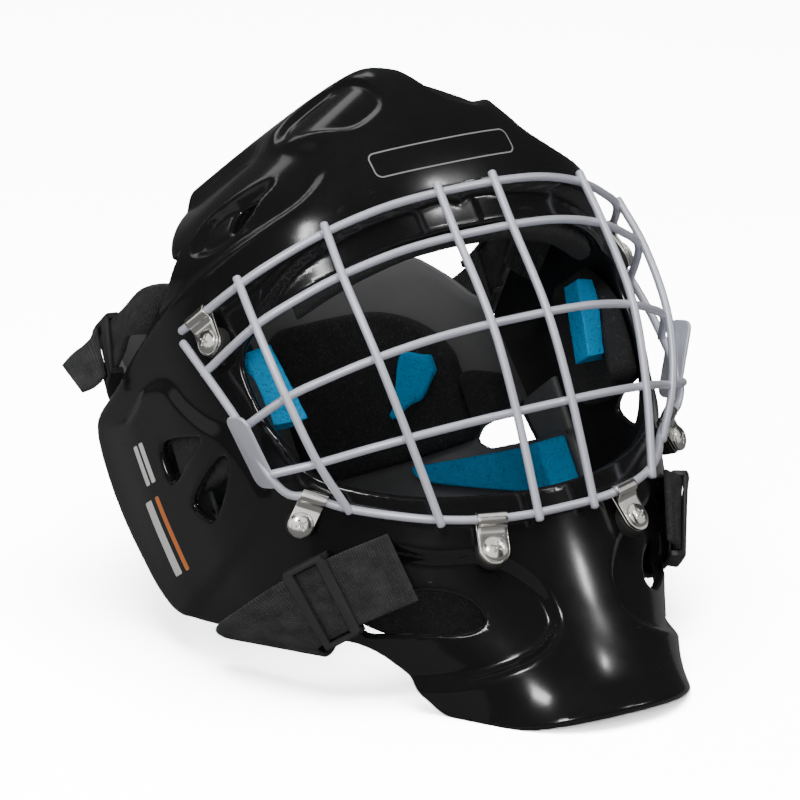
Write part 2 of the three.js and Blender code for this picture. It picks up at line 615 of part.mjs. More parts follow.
/** Pad against the inside of the shell over a region; thick is a number or a rule of height. */
function liner(thick, region) {
  const inner = typeof thick === 'function' ? (up) => INNER + thick(up) : INNER + thick;
  return closedForm(INNER).subtract(closedForm(inner)).intersect(region);
}

/** Region seen from the side: front and up ranges, on one side of the head. */
function sideRegion(outline, side) {
  const points = outline.map(([f, z]) => new THREE.Vector2(f, z));
  return prism(points, 50 * side, 140 * side, (f, z, x) => world(new THREE.Vector3(x, f, z)));
}

function browBand() {
  const xs = [-84, -63, -42, -21, 0, 21, 42, 63, 84];
  const low = (x) => 46 - 14 * (x / 84) ** 2;
  const points = [...xs.map((x) => [x, low(x)]), ...xs.reverse().map((x) => [x, low(x) + 33])];
  return prism(points.map(([x, z]) => new THREE.Vector2(x, z)), -62, 60, (x, z, f) => world(new THREE.Vector3(x, f, z)));
}

addPart('sweatband', liner(10, browBand()), materials.blackFoam);
const TEMPLE_PAD = [[-100, -12], [-92, -20], [-42, -20], [-42, 17], [-61, 36], [-86, 36], [-100, 24]];
const templeThick = (up) => 7 + 5 * smooth((25 - up) / 32);
const TEMPLE_BLOCK = { back: -56, front: -44, low: -7, high: 27, thinLow: 72.4, thinHigh: 79 };

/** Foam block glued onto the temple pad just behind the edge of the face opening. */
function templeBlock(side) {
  const { back, front, low, high, thinLow, thinHigh } = TEMPLE_BLOCK;
  const turned = (p) => world(p.multiply(new THREE.Vector3(side, 1, 1)));
  const [along, up] = [(u) => back + (front - back) * u, (v) => low + (high - low) * v];
  const outer = (u, v) => turned(sideSkin(along(u), up(v), -(INNER + templeThick(up(v)) + GAP + 0.9)));
  const inner = (u, v) => turned(new THREE.Vector3(thinLow + (thinHigh - thinLow) * v, along(u), up(v)));
  return slab(3, 5, outer, inner);
}

for (const side of [-1, 1]) {
  const hand = side < 0 ? 'right' : 'left';
  addPart(`temple_block_${hand}`, templeBlock(side), materials.blueFoam);
  addPart(`temple_pad_${hand}`, liner(templeThick, sideRegion(TEMPLE_PAD, side)), materials.blackFoam);
}

// ---------------------------------------------------------------- back plate and its pads
// The plate is a C in plan about (0, front); sweep is the angle from its middle. Past a
// quarter turn its lower arms run straight forward inside the shell.
const PLATE = { half: 94, front: -130, depth: 60, wall: 3, low: -53, arm: 1.5 };

function platePoint(sweep, up, inward) {
  const half = PLATE.half - inward;
  const depth = PLATE.depth - inward;
  const past = Math.abs(sweep) - Math.PI / 2;
  if (past > 0) return new THREE.Vector3(half * Math.sign(sweep), PLATE.front + depth * PLATE.arm * past, up);
  const bow = 7 * ((up - 15) / 60) ** 2;
  return new THREE.Vector3(half * Math.sin(sweep), PLATE.front - (depth - bow * Math.cos(sweep)) * Math.cos(sweep), up);
}

/** Evenly spaced numbers from one to another. */
const spread = (from, to, count) => Array.from({ length: count + 1 }, (_, i) => from + ((to - from) * i) / count);

/** Value at x of the line through [x, y] knots. */
function through(knots, x) {
  const i = Math.max(1, knots.findIndex(([at]) => at >= x));
  const [[x0, y0], [x1, y1]] = [knots[i - 1], knots[i]];
  return y0 + ((y1 - y0) * (x - x0)) / (x1 - x0);
}

/** Part of the plate's wall, or a pad on it: sweeps in degrees, edges as rules of |sweep|. */
function plateSlab(sweeps, lowAt, highAt, near, far, countV = 3) {
  const at = (inward) => (u, v) => {
    const degrees = sweeps[Math.round(u * (sweeps.length - 1))];
    const [low, high] = [lowAt(Math.abs(degrees)), highAt(Math.abs(degrees))];
    return world(platePoint(THREE.MathUtils.degToRad(degrees), low + (high - low) * v, inward));
  };
  return slab(sweeps.length - 1, countV, at(near), at(far));
}

const PLATE_TOP = [
  [0, 80], [20, 79.3], [40, 77.3], [60, 74], [69, 63], [78, 50], [84, 45], [88, 10], [92, -25], [108, -27],
];
const PAD_GAP = PLATE.wall + 0.7;
const plateHalf = [...spread(0, 60, 6), 64.5, 69, 73.5, 78, 84, 88, 92, 100, 108];
const plateRound = [...plateHalf.slice(1).map((a) => -a).reverse(), ...plateHalf];
// Its lower edge is cut flat where it stands on the floor with the leaned mask.
const floorUp = [0, -Math.sin(LEAN), Math.cos(LEAN)];
let plate = plateSlab(plateRound, () => PLATE.low, (a) => through(PLATE_TOP, a), 0, PLATE.wall, 6);
for (const side of [-1, 1]) {
  const notch = spread(62 * side, 97 * side, 7);
  const [low, high] = [(a) => -17 - (a - 62) * 0.18, (a) => -8 + (a - 62) * 0.14];
  plate = plate.subtract(plateSlab(notch, low, high, -3, PLATE.wall + 3, 1));
}
addPart('back_plate', plate.trimByPlane(floorUp, -REST_DROP), materials.greyPlastic);
for (const side of [-1, 1]) {
  const hand = side < 0 ? 'right' : 'left';
  const pad = (name, [from, to, count], low, high, near, thick, material) => {
    const sweeps = spread(from * side, to * side, count);
    addPart(`${name}_${hand}`, plateSlab(sweeps, low, high, near, near + thick), material);
  };
  pad('back_pad', [4, 66, 10], () => -12, (a) => 58 - 39.2 * (a / 70) ** 5, PAD_GAP, 12, materials.blackFoam);
  pad('wing_pad', [67, 88, 4], (a) => -8 + (a - 67) * 0.19, (a) => 19 - (a - 67) * 0.43, PAD_GAP, 11,
    materials.blackFoam);
  pad('nape_pad', [37, 107, 12], (a) => -20 - 30 * ((a - 37) / 70) ** 0.7, (a) => -15.8 - (a - 37) * 0.16,
    PAD_GAP, 12, materials.blueFoam);
  pad('side_pad', [36, 61, 7], (a) => 6 + 4.5 * smooth((a - 36) / 12) + 10 * smooth((a - 49) / 13),
    (a) => 9 + 24 * smooth((a - 36) / 13) - 4 * smooth((a - 50) / 10), PAD_GAP + 12.7, 4, materials.blueFoam);
}

// ---------------------------------------------------------------- harness
/** Half width of the form at (front, up) on its side. */
function sideHalf(front, up) {
  const low = Math.min(up, CROWN_LEVEL);
  const rise = Math.asin(clamp01((up - low) / CROWN_RISE));
  const shrink = Math.cos(rise);
  const centre0 = column('centre', low);
  const centre = centre0 + (CROWN_CENTRE - centre0) * (1 - shrink);
  const half = column('half', low) * shrink * (1 - CROWN_PINCH * Math.sin(rise) ** PINCH_EASE);
  const ahead = front > centre;
  const power = ahead ? 2 + (column('square', low) - 2) * shrink : 2 + BACK_SQUARE * shrink ** BACK_EASE;
  const reach = (ahead ? column('front', low) - centre0 : centre0 - BACK_REACH) * shrink;
  return half * Math.max(0, 1 - (Math.abs(front - centre) / reach) ** power) ** (1 / power);
}

/** Point off the shell's side at (front, up), lifted outward, or sunk for negative lift. */
function sideSkin(front, up, lift) {
  const p = new THREE.Vector3(sideHalf(front, up), front, up);
  const alongF = new THREE.Vector3(sideHalf(front + 1, up) - sideHalf(front - 1, up), 2, 0);
  const alongU = new THREE.Vector3(sideHalf(front, up + 1) - sideHalf(front, up - 1), 0, 2);
  const normal = alongF.cross(alongU).normalize();
  if (normal.x < 0) normal.negate();
  return p.addScaledVector(normal, lift - reliefDepth(p));
}

/** Sheet spanned by two edge lines: maps (along, across, lift off the sheet) to a point. */
function strapSheet(edgeA, edgeB, side) {
  const line = (points) => new THREE.CatmullRomCurve3(points, false, 'centripetal');
  const [a, b] = [line(edgeA), line(edgeB)];
  const local = (along, across, lift) => {
    const u = clamp01(along);
    const [from, to] = [a.getPoint(u), b.getPoint(u)];
    const [ahead, behind] = [Math.min(1, u + 0.01), Math.max(0, u - 0.01)];
    const run = a.getPoint(ahead).add(b.getPoint(ahead)).sub(a.getPoint(behind)).sub(b.getPoint(behind));
    const normal = run.cross(to.clone().sub(from)).normalize();
    return from.lerp(to, across).addScaledVector(normal, lift);
  };
  const at = (along, across, lift) => world(local(along, across, lift).multiply(new THREE.Vector3(side, 1, 1)));
  return { at, local, spans: edgeA.length - 1 };
}

const slabOn = (sheet, [u0, u1], [v0, v1], [low, high], counts) => slab(...counts,
  (u, v) => sheet.at(u0 + (u1 - u0) * u, v0 + (v1 - v0) * v, high),
  (u, v) => sheet.at(u0 + (u1 - u0) * u, v0 + (v1 - v0) * v, low));

/** Flat strap, thick about its sheet. */
const ribbon = (sheet) => slabOn(sheet, [0, 1], [0, 1], [-STRAP_THICK / 2, STRAP_THICK / 2], [sheet.spans * 3, 3]);

/** Three-bar slide the strap is threaded through: two bars over it, the middle one under it. */
function slideSolid(sheet, at) {
  const long = sheet.at(at - 0.01, 0.5, 0).distanceTo(sheet.at(at + 0.01, 0.5, 0)) / 0.02;
  const wide = sheet.at(at, 0, 0).distanceTo(sheet.at(at, 1, 0));
  const bar = SLIDE.bar / long;
  const half = SLIDE.long / 2 / long;
  const [gap, rail] = [SLIDE.gap / wide, SLIDE.rail / wide];
  const clear = STRAP_THICK / 2 + SLIDE.gap;
  const over = [clear, clear + SLIDE.thick];
  const under = [-clear - SLIDE.thick * 0.75, -clear];
  const full = [-gap - rail, 1 + gap + rail];
  return unite([
    slabOn(sheet, [at - half, at - half + bar], full, over, [1, 2]),
    slabOn(sheet, [at + half - bar, at + half], full, over, [1, 2]),
    slabOn(sheet, [at - bar / 2, at + bar / 2], full, under, [1, 2]),
    slabOn(sheet, [at - half, at + half], [full[0], -gap], [under[0], over[1]], [4, 1]),
    slabOn(sheet, [at - half, at + half], [1 + gap, full[1]], [under[0], over[1]], [4, 1]),
  ]);
}

const LIFT = 5.6;                 // middle of a strap above the shell
const skins = (rows, lift) => rows.map(([f, u]) => sideSkin(f, u, lift));

// Jaw strap: front end on the jaw recess, back over the cheek, round the lower edge of
// the shell, up inside to the wing of the back plate. Rows are the two edges' [front, up].
const JAW_UPPER = [[-20, -66], [-37, -67], [-56, -68.4], [-82, -70.6], [-108, -73]];
const JAW_LOWER = [[-20, -96], [-39, -97], [-59, -98.2], [-62, -98.7], [-65, -99.3]];

function jawStrap(side) {
  const round = (rows) => {
    const outer = skins(rows, LIFT);
    const [f, u] = rows[rows.length - 1];
    const below = [-0.476, -0.879];
    const step = (out, lift) => sideSkin(f + below[0] * out, u + below[1] * out, lift);
    return [...outer, step(5.4, 1), step(5.6, -WALL - 1), step(0, -WALL - 3.8), step(-9, -WALL - 4)];
  };
  const upper = [...round(JAW_UPPER), new THREE.Vector3(95.6, -124, -44), new THREE.Vector3(96.6, -133, -24)];
  const lower = [...round(JAW_LOWER), new THREE.Vector3(93.6, -98, -66), new THREE.Vector3(96.2, -128, -45)];
  return strapSheet(upper, lower, side);
}

/** Middle of a strap lying on the outside of the back plate; sweep in degrees. */
const onPlate = (sweep, up) => platePoint(THREE.MathUtils.degToRad(sweep), up, -STRAP_THICK / 2 - 0.8);

// Temple strap: from inside the rear edge, out behind it and in to the back plate.
function templeStrap(side) {
  const inside = -WALL - 5;
  const upper = [sideSkin(-70, 54, inside), sideSkin(-77, 66, inside), new THREE.Vector3(96, -92, 72),
    new THREE.Vector3(97, -115, 70), new THREE.Vector3(98.5, -138, 65), onPlate(66, 59), onPlate(53, 56)];
  const lower = [sideSkin(-99, 42, inside), sideSkin(-106, 54, inside), new THREE.Vector3(100, -114.5, 57),
    new THREE.Vector3(99.5, -125.5, 52), new THREE.Vector3(99.5, -139.5, 44), onPlate(67, 33), onPlate(54, 29)];
  return strapSheet(upper, lower, side);
}

// Loose end of the temple strap, folded forward out of its slide.
function templeTail(temple, side) {
  const start = STRAP_THICK + SLIDE.gap + SLIDE.thick + 0.1;
  const tip = { upper: [[108, -136, 62.5], [111.5, -144, 60.5], [115, -150, 57.5]],
    lower: [[111, -129, 43.5], [113.5, -134, 42], [116.5, -138.5, 42]] };
  const line = (across, rows) => [temple.local(0.62, across, start), ...rows.map((p) => new THREE.Vector3(...p))];
  return strapSheet(line(0, tip.upper), line(1, tip.lower), side);
}

// Crown strap: from inside the crown's rear edge down to the top of the back plate.
function crownStrap() {
  const under = [121, 116.5, 111.5].map((level) => shellPoint(Math.PI, level, WALL + 5.2));
  const over = [new THREE.Vector3(0, -152, 102), new THREE.Vector3(0, -178, 92), onPlate(0, 79), onPlate(0, 50)];
  const edge = (x) => [...under, ...over].map((p) => new THREE.Vector3(x, p.y, p.z));
  return strapSheet(edge(15), edge(-15), 1);
}

// Chin sling: a padded band across the inside of the jaw, behind the strap slots.
const SLING_UPPER = [[0, -45, -88], [22, -46.5, -85], [46, -49.5, -80.5], [62, -52, -77]];
const SLING_LOWER = [[0, -43, -114], [21, -44.5, -113], [44, -47.5, -110], [60, -51.5, -104]];

function chinSling() {
  const whole = (rows, front, up) => {
    const half = [...rows.map((p) => new THREE.Vector3(...p)), sideSkin(front, up, -WALL - 3.4)];
    const mirrored = half.slice(1).reverse().map((p) => new THREE.Vector3(-p.x, p.y, p.z));
    return [...mirrored, ...half];
  };
  return strapSheet(whole(SLING_UPPER, -54, -72), whole(SLING_LOWER, -54, -91), 1);
}

addPart('crown_strap', ribbon(crownStrap()), materials.webbing);
addPart('chin_sling', ribbon(chinSling()), materials.blackFoam);
for (const side of [-1, 1]) {
  const hand = side < 0 ? 'right' : 'left';
  const [jaw, temple] = [jawStrap(side), templeStrap(side)];
  addPart(`jaw_strap_${hand}`, ribbon(jaw), materials.webbing);
  addPart(`jaw_slide_${hand}`, slideSolid(jaw, 0.15), materials.slide);
  addPart(`temple_strap_${hand}`, ribbon(temple), materials.webbing);
  addPart(`temple_slide_${hand}`, slideSolid(temple, 0.66), materials.slide);
  addPart(`temple_tail_${hand}`, ribbon(templeTail(temple, side)), materials.webbing);
}

// ---------------------------------------------------------------- resting pose
mask.rotation.x = -LEAN;
mask.updateMatrixWorld(true);
const extent = new THREE.Box3().setFromObject(mask, true);
mask.position.set(-(extent.min.x + extent.max.x) / 2, -(extent.min.y + extent.max.y) / 2, -extent.min.z);
mask.updateMatrixWorld(true);

export default mask;
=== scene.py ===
"""Hockey goalie mask: the looks of every piece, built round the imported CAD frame.

Shapes are worked out in head coordinates, in millimetres: side (to the wearer's left), front and
up, with the origin in the middle of the cage. Rest.place leans them back to where the mask rests
on the floor, in metres.
"""

import json
import logging
import math
from dataclasses import dataclass, field
from enum import Enum
from typing import Callable, Iterable, Sequence

import bmesh
import bpy
import numpy as np
from bmesh.types import BMEdge, BMesh, BMFace, BMVert
from bpy.types import Material, NodeTree, Object
from mathutils import Matrix, Vector

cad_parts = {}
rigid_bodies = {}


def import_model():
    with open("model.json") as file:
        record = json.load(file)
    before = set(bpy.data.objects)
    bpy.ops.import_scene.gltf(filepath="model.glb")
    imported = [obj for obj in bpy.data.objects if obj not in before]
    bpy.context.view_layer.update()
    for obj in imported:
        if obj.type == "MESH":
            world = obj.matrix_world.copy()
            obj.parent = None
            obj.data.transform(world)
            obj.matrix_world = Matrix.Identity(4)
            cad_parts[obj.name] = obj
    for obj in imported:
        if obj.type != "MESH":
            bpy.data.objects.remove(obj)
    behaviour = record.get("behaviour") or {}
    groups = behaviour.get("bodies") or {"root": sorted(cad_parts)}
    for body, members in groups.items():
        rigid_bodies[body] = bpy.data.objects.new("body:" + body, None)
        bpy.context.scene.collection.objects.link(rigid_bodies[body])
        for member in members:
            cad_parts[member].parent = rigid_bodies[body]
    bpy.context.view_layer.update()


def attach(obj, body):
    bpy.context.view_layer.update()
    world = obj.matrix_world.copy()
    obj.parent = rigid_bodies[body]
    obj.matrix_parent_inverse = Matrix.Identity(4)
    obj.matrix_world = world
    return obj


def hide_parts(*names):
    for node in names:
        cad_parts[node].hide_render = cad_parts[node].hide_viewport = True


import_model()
log = logging.getLogger("mask")

Array = np.ndarray
Pair = tuple[float, float]
Triple = tuple[float, float, float]

WALL = 4.0            # shell wall
GAP = 0.5             # clearance between a lining pad and the shell
WIRE = 3.6            # cage wire diameter
WELD_OFFSET = 2.8     # how far the cross wires sit behind the upright ones
STRAP = 2.4           # elastic strap thickness
CROWN_LEVEL = 60.0    # where the crown dome starts
CROWN_RISE = 73.0     # height of the dome
CROWN_CENTRE = -38.0  # front position of the top of the dome
CROWN_PINCH = 0.6     # extra narrowing of the dome toward its top
PINCH_EASE = 2.5      # how late that narrowing comes in
BACK_SQUARE = 3.5     # how much squarer than an ellipse a section is at the back
BACK_EASE = 4.5       # how soon the dome loses that squareness
BACK_REACH = -205.0   # back of the closed form that the shell is cut from
ON_EDGE = 1e-6        # what is nearer to an edge lies on it
FAR = 60.0            # distance that stands for "nowhere near an edge"
STRAIGHT = 1e-9       # shorter vectors have no direction
METRE = 1000.0        # millimetres in a metre
RUN = "run"           # UV map along and across a strap, in millimetres


class Hand(Enum):
    """The wearer's side that a piece is on."""

    RIGHT = -1
    LEFT = 1

    @property
    def label(self) -> str:
        """The side's name at the end of a piece's name."""
        return self.name.lower()

    @property
    def flip(self) -> Array:
        """Factors that turn left-hand head coordinates to this side."""
        return np.array([self.value, 1, 1])


# ---------------------------------------------------------------- placing
@dataclass(frozen=True)
class Rest:
    """How the mask rests: leaned back, with the cage's middle at a height above the floor."""

    lean: float = math.radians(32.4)
    setback: float = -50.035
    height: float = 140.17

    def place(self, points: Array) -> Array:
        """Head coordinates (side, front, up) in mm to the row frame in metres.

        Args:
            points: array whose last axis is (side, front, up).

        Returns:
            Array of the same shape, (x, y, z) in metres.
        """
        side, front, up = np.moveaxis(np.asarray(points, float), -1, 0)
        ahead = front * math.cos(self.lean) - up * math.sin(self.lean)
        rise = front * math.sin(self.lean) + up * math.cos(self.lean)
        return np.stack([side, self.setback - ahead, self.height + rise], -1) / METRE


REST = Rest()


# ---------------------------------------------------------------- curves and outlines
def hermite(p0: Array, p1: Array, p2: Array, p3: Array, t: Array) -> Array:
    """Uniform Catmull-Rom between p1 and p2 at t in 0..1."""
    a = 2 * p1 + (p2 - p0) * t + (2 * p0 - 5 * p1 + 4 * p2 - p3) * t * t
    return 0.5 * (a + (3 * p1 - p0 - 3 * p2 + p3) * t ** 3)


def smooth(value: Array) -> Array:
    """Smoothstep of a value, clamped to 0..1."""
    t = np.clip(value, 0.0, 1.0)
    return t * t * (3 - 2 * t)


def run_along(line: Array) -> Array:
    """Distance from the start of a line at each of its points."""
    return np.concatenate([[0], np.cumsum(np.linalg.norm(np.diff(line, axis=0), axis=1))])


def unit(vector: Array) -> Array:
    """A vector at length one."""
    return vector / np.linalg.norm(vector)


def unit_rows(vectors: Array) -> Array:
    """Vectors in the last axis at length one."""
    return vectors / np.maximum(np.linalg.norm(vectors, axis=-1, keepdims=True), STRAIGHT)


def both_ways(half: Sequence, turned: Callable = lambda value: -value) -> list:
    """A row from its far end through its first value to its far end on the other side."""
    return [*(turned(value) for value in half[:0:-1]), *half]


class Spline:
    """Centripetal Catmull-Rom curve through points, open at both ends."""

    def __init__(self, points: Sequence[Sequence[float]]) -> None:
        """Keeps the points and adds a straight run-out point at each end."""
        p = np.asarray(points, float)
        self.points = np.vstack([2 * p[0] - p[1], p, 2 * p[-1] - p[-2]])
        self.spans = len(p) - 1

    def at(self, along: Array) -> Array:
        """Points at along in 0..1, equal steps for each span.

        Args:
            along: positions along the curve.

        Returns:
            One point for each position.
        """
        s = np.clip(np.atleast_1d(along), 0, 1) * self.spans
        i = np.minimum(s.astype(int), self.spans - 1)
        w = (s - i)[:, None]
        p0, p1, p2, p3 = (self.points[i + k] for k in range(4))
        d0, d1, d2 = (np.maximum(np.linalg.norm(b - a, axis=1)[:, None] ** 0.5, 1e-4)
                      for a, b in ((p0, p1), (p1, p2), (p2, p3)))
        m1 = ((p1 - p0) / d0 - (p2 - p0) / (d0 + d1) + (p2 - p1) / d1) * d1
        m2 = ((p2 - p1) / d1 - (p3 - p1) / (d1 + d2) + (p3 - p2) / d2) * d1
        return (p1 + m1 * w + (3 * (p2 - p1) - 2 * m1 - m2) * w ** 2
                + (2 * (p1 - p2) + m1 + m2) * w ** 3)

    def stations(self, step: float) -> Array:
        """Points along the curve about step millimetres apart."""
        fine = self.at(np.linspace(0, 1, 40 * self.spans + 1))
        run = run_along(fine)
        count = max(2, int(round(run[-1] / step)) + 1)
        marks = np.linspace(0, run[-1], count)
        return np.stack([np.interp(marks, run, fine[:, k]) for k in range(fine.shape[1])], -1)


class Outline:
    """Closed outline in a plane, rounded through a few points."""

    def __init__(self, points: Sequence[Sequence[float]], steps: int = 6,
                 rounding: bool = True) -> None:
        """Rounds the outline into short segments.

        Args:
            points: corner points in order.
            steps: segments for each side.
            rounding: False keeps straight sides.
        """
        p = np.asarray(points, float)
        if rounding:
            ring = [hermite(np.roll(p, 1, 0), p, np.roll(p, -1, 0), np.roll(p, -2, 0), k / steps)
                    for k in range(steps)]
            p = np.stack(ring, 1).reshape(-1, 2)
        self.start, self.end = p, np.roll(p, -1, 0)

    def distance(self, px: Array, py: Array) -> Array:
        """Signed distance of points to the outline, positive inside."""
        best = np.full(px.shape, np.inf)
        within = np.zeros(px.shape, bool)
        for (ax, ay), (bx, by) in zip(self.start, self.end):
            ex, ey = bx - ax, by - ay
            t = np.clip(((px - ax) * ex + (py - ay) * ey) / (ex * ex + ey * ey), 0, 1)
            best = np.minimum(best, np.hypot(px - ax - ex * t, py - ay - ey * t))
            if ey != 0:
                within ^= ((ay > py) != (by > py)) & (px < ex * (py - ay) / ey + ax)
        return np.where(within, best, -best)


class View(Enum):
    """The plane that an outline is drawn in."""

    SIDE = "front, up"
    FACE = "|side|, up"
    TOP = "|side|, front"

    def plane(self, p: Array) -> tuple[Array, Array]:
        """The two drawn coordinates of points."""
        side, front, up = np.abs(p[..., 0]), p[..., 1], p[..., 2]
        return {View.SIDE: (front, up), View.FACE: (side, up), View.TOP: (side, front)}[self]

    def sees(self, p: Array) -> Array:
        """Which points an outline in this view applies to."""
        side, front, up = np.abs(p[..., 0]), p[..., 1], p[..., 2]
        return {View.SIDE: side >= 30, View.FACE: front >= -95,
                View.TOP: up >= CROWN_LEVEL + 20}[self]


@dataclass(frozen=True)
class Relief:
    """A panel pressed into the shell, or raised from it where depth is negative.

    Where fade is given, it runs out between those two front positions.
    """

    view: View
    depth: float
    edge: float
    outline: Outline
    fade: Pair | None = None


@dataclass
class ShellForm:
    """The smooth form that the shell is cut from, and the reliefs pressed into it.

    Attributes:
        sections: rows of (up, half width, foremost front, squareness, centre), up in equal steps.
        reliefs: the pressed panels.
    """

    sections: tuple[tuple[float, ...], ...] = (
        (-180, 58, 20, 2.3, -62), (-150, 61, 9, 2.25, -66), (-120, 78, 5, 2.05, -72),
        (-90, 96, 4, 1.92, -80), (-60, 106, 6, 1.82, -85), (-30, 109, 10, 1.95, -85),
        (0, 109, 13, 2.2, -85), (30, 107, 13, 2.3, -85), (60, 102, 9, 2.5, -85))
    reliefs: tuple[Relief, ...] = (
        Relief(View.FACE, 4.5, 4, Outline([
            [0, 62], [30, 61.5], [55, 58], [76, 51], [89, 40], [94, 31], [92, 22], [60, 30],
            [0, 36]])),
        Relief(View.SIDE, 5, 7, Outline([
            [-13, 101], [-7, 93], [-5, 85], [-9, 77], [-20, 72], [-38, 67], [-62, 62], [-105, 52],
            [-140, 38], [-175, 34], [-175, 80], [-100, 112], [-66, 117], [-27, 107]])),
        Relief(View.SIDE, 4, 5, Outline([
            [-59, 78], [-60, 85], [-55, 91], [-42, 94], [-33, 95], [-25, 94], [-28, 89], [-29, 83],
            [-36, 76], [-47, 74]])),
        Relief(View.TOP, 3.5, 5, Outline([
            [11, -24], [11, -13], [14, -6], [21, -4], [31, -5], [38, -10], [44, -19], [47, -28],
            [48, -39], [31, -49], [14, -44]])),
        Relief(View.SIDE, -2.6, 5, Outline([
            [-180, 25], [-124, 23], [-104, 30], [-86, 27], [-77, 16], [-67, 5], [-56, -5],
            [-51, -18], [-50, -33], [-58, -43], [-67, -48], [-83, -53], [-105, -58],
            [-180, -62]]), (-115, -150)),
        Relief(View.FACE, 5, 5, Outline([
            [72, -72], [56, -81], [37, -87], [26, -96], [19, -106], [17, -115], [18, -122],
            [25, -129], [36, -133], [50, -134], [62, -131], [76, -122], [96, -104], [98, -82],
            [86, -72]])))

    def column(self, index: int, up: Array) -> Array:
        """One column of the sections at heights, smoothly between the rows."""
        table = np.asarray(self.sections, float)
        last = len(table) - 1
        step = table[1, 0] - table[0, 0]
        s = np.clip((up - table[0, 0]) / step, 0, last)
        i = np.minimum(s.astype(int), last - 1)
        p0, p1, p2, p3 = (table[np.clip(i + k, 0, last), index] for k in (-1, 0, 1, 2))
        return hermite(p0, p1, p2, p3, s - i)

    def section(self, level: Array) -> tuple[Array, Array, Array, Array, Array, Array]:
        """Half width, front and back reach, front and back squareness and centre at levels."""
        low = np.minimum(level, CROWN_LEVEL)
        rise = np.clip((level - CROWN_LEVEL) / CROWN_RISE, 0, 1) * math.pi / 2
        shrink = np.cos(rise)
        centre0 = self.column(4, low)
        half = self.column(1, low) * shrink * (1 - CROWN_PINCH * np.sin(rise) ** PINCH_EASE)
        square = 2 + (self.column(3, low) - 2) * shrink
        ahead = (self.column(2, low) - centre0) * shrink
        behind = (centre0 - BACK_REACH) * shrink
        centre = centre0 + (CROWN_CENTRE - centre0) * (1 - shrink)
        return half, ahead, behind, square, 2 + BACK_SQUARE * shrink ** BACK_EASE, centre

    def smooth_point(self, angle: Array, level: Array) -> Array:
        """Point of the form before the reliefs, at an angle from the front about its centre."""
        half, ahead, behind, square, square_back, centre = self.section(level)
        in_front = np.cos(angle) > 0
        reach, power = np.where(in_front, ahead, behind), np.where(in_front, square, square_back)
        s, c = np.sin(angle), np.cos(angle)
        tiny = 1e-6
        radius = ((np.abs(s) / np.maximum(half, tiny)) ** power
                  + (np.abs(c) / np.maximum(reach, tiny)) ** power) ** (-1 / power)
        rise = np.clip((level - CROWN_LEVEL) / CROWN_RISE, 0, 1) * math.pi / 2
        up = np.minimum(level, CROWN_LEVEL) + CROWN_RISE * np.sin(rise)
        return np.stack([radius * s, centre + radius * c, up], -1)

    def normal(self, angle: Array, level: Array) -> Array:
        """Outward normal of the form before the reliefs."""
        top = np.minimum(level, CROWN_LEVEL + CROWN_RISE - 0.8)
        du = self.smooth_point(angle + 0.01, top) - self.smooth_point(angle - 0.01, top)
        dv = self.smooth_point(angle, top + 0.3) - self.smooth_point(angle, top - 0.3)
        n = unit_rows(np.cross(du, dv))
        away = self.smooth_point(angle, top)
        nothing = 0 * away[..., 0]
        away = away - np.stack([nothing, nothing + CROWN_CENTRE,
                                np.minimum(away[..., 2], CROWN_LEVEL)], -1)
        return np.where(np.sum(n * away, -1, keepdims=True) < 0, -n, n)

    def pressed(self, p: Array) -> Array:
        """How far the reliefs push the surface in at points of the form."""
        depth = np.zeros(p.shape[:-1])
        for relief in self.reliefs:
            seen = relief.view.sees(p)
            if seen.any():
                a, b = relief.view.plane(p[seen])
                sunk = relief.depth * smooth(0.5 + relief.outline.distance(a, b) / relief.edge)
                if relief.fade:
                    full, gone = relief.fade
                    sunk = sunk * smooth((p[seen][:, 1] - gone) / (full - gone))
                depth[seen] += sunk
        return depth

    def point(self, angle: Array, level: Array, depth: Array | float = 0.0) -> Array:
        """Point of the pressed shell, sunk below its outer skin by depth."""
        p = self.smooth_point(angle, level)
        sink = self.pressed(p) + depth
        return p - self.normal(angle, level) * np.asarray(sink)[..., None]

    def level_of(self, up: Array) -> Array:
        """The level, or dome angle, that is at a height."""
        over = np.clip((np.asarray(up, float) - CROWN_LEVEL) / CROWN_RISE, 0, 1)
        return np.where(over > 0, CROWN_LEVEL + CROWN_RISE * np.arcsin(over) * 2 / math.pi, up)

    def angle_of_side(self, side: Array, level: Array) -> Array:
        """Angle at which the front half of a section has a side position."""
        half, ahead, _, square, _, _ = self.section(level)
        ratio = np.clip(np.abs(side) / half, 0, 0.9999)
        front = ahead * (1 - ratio ** square) ** (1 / square)
        return np.arctan2(side, front)

    def angle_of_front(self, front: Array, level: Array) -> Array:
        """Angle at which the side of a section has a front position, on the positive side."""
        half, ahead, behind, square, square_back, centre = self.section(level)
        is_front = front > centre
        reach, power = np.where(is_front, ahead, behind), np.where(is_front, square, square_back)
        along = front - centre
        ratio = np.clip(np.abs(along) / reach, 0, 0.9999)
        return np.arctan2(half * (1 - ratio ** power) ** (1 / power), along)

    def on_side(self, front: Array, up: Array, lift: Array | float,
                hand: Hand = Hand.LEFT) -> Array:
        """Point off the side of the shell at (front, up), lifted outward."""
        front, up = np.asarray(front, float), np.asarray(up, float)
        level = self.level_of(up)
        p = self.point(self.angle_of_front(front, level), level, -np.asarray(lift, float))
        return p * hand.flip

    def on_face(self, side: Array, up: Array, depth: Array | float) -> Array:
        """Point below the front of the shell at (side, up)."""
        level = self.level_of(up)
        return self.point(self.angle_of_side(np.asarray(side, float), level), level, depth)


FORM = ShellForm()


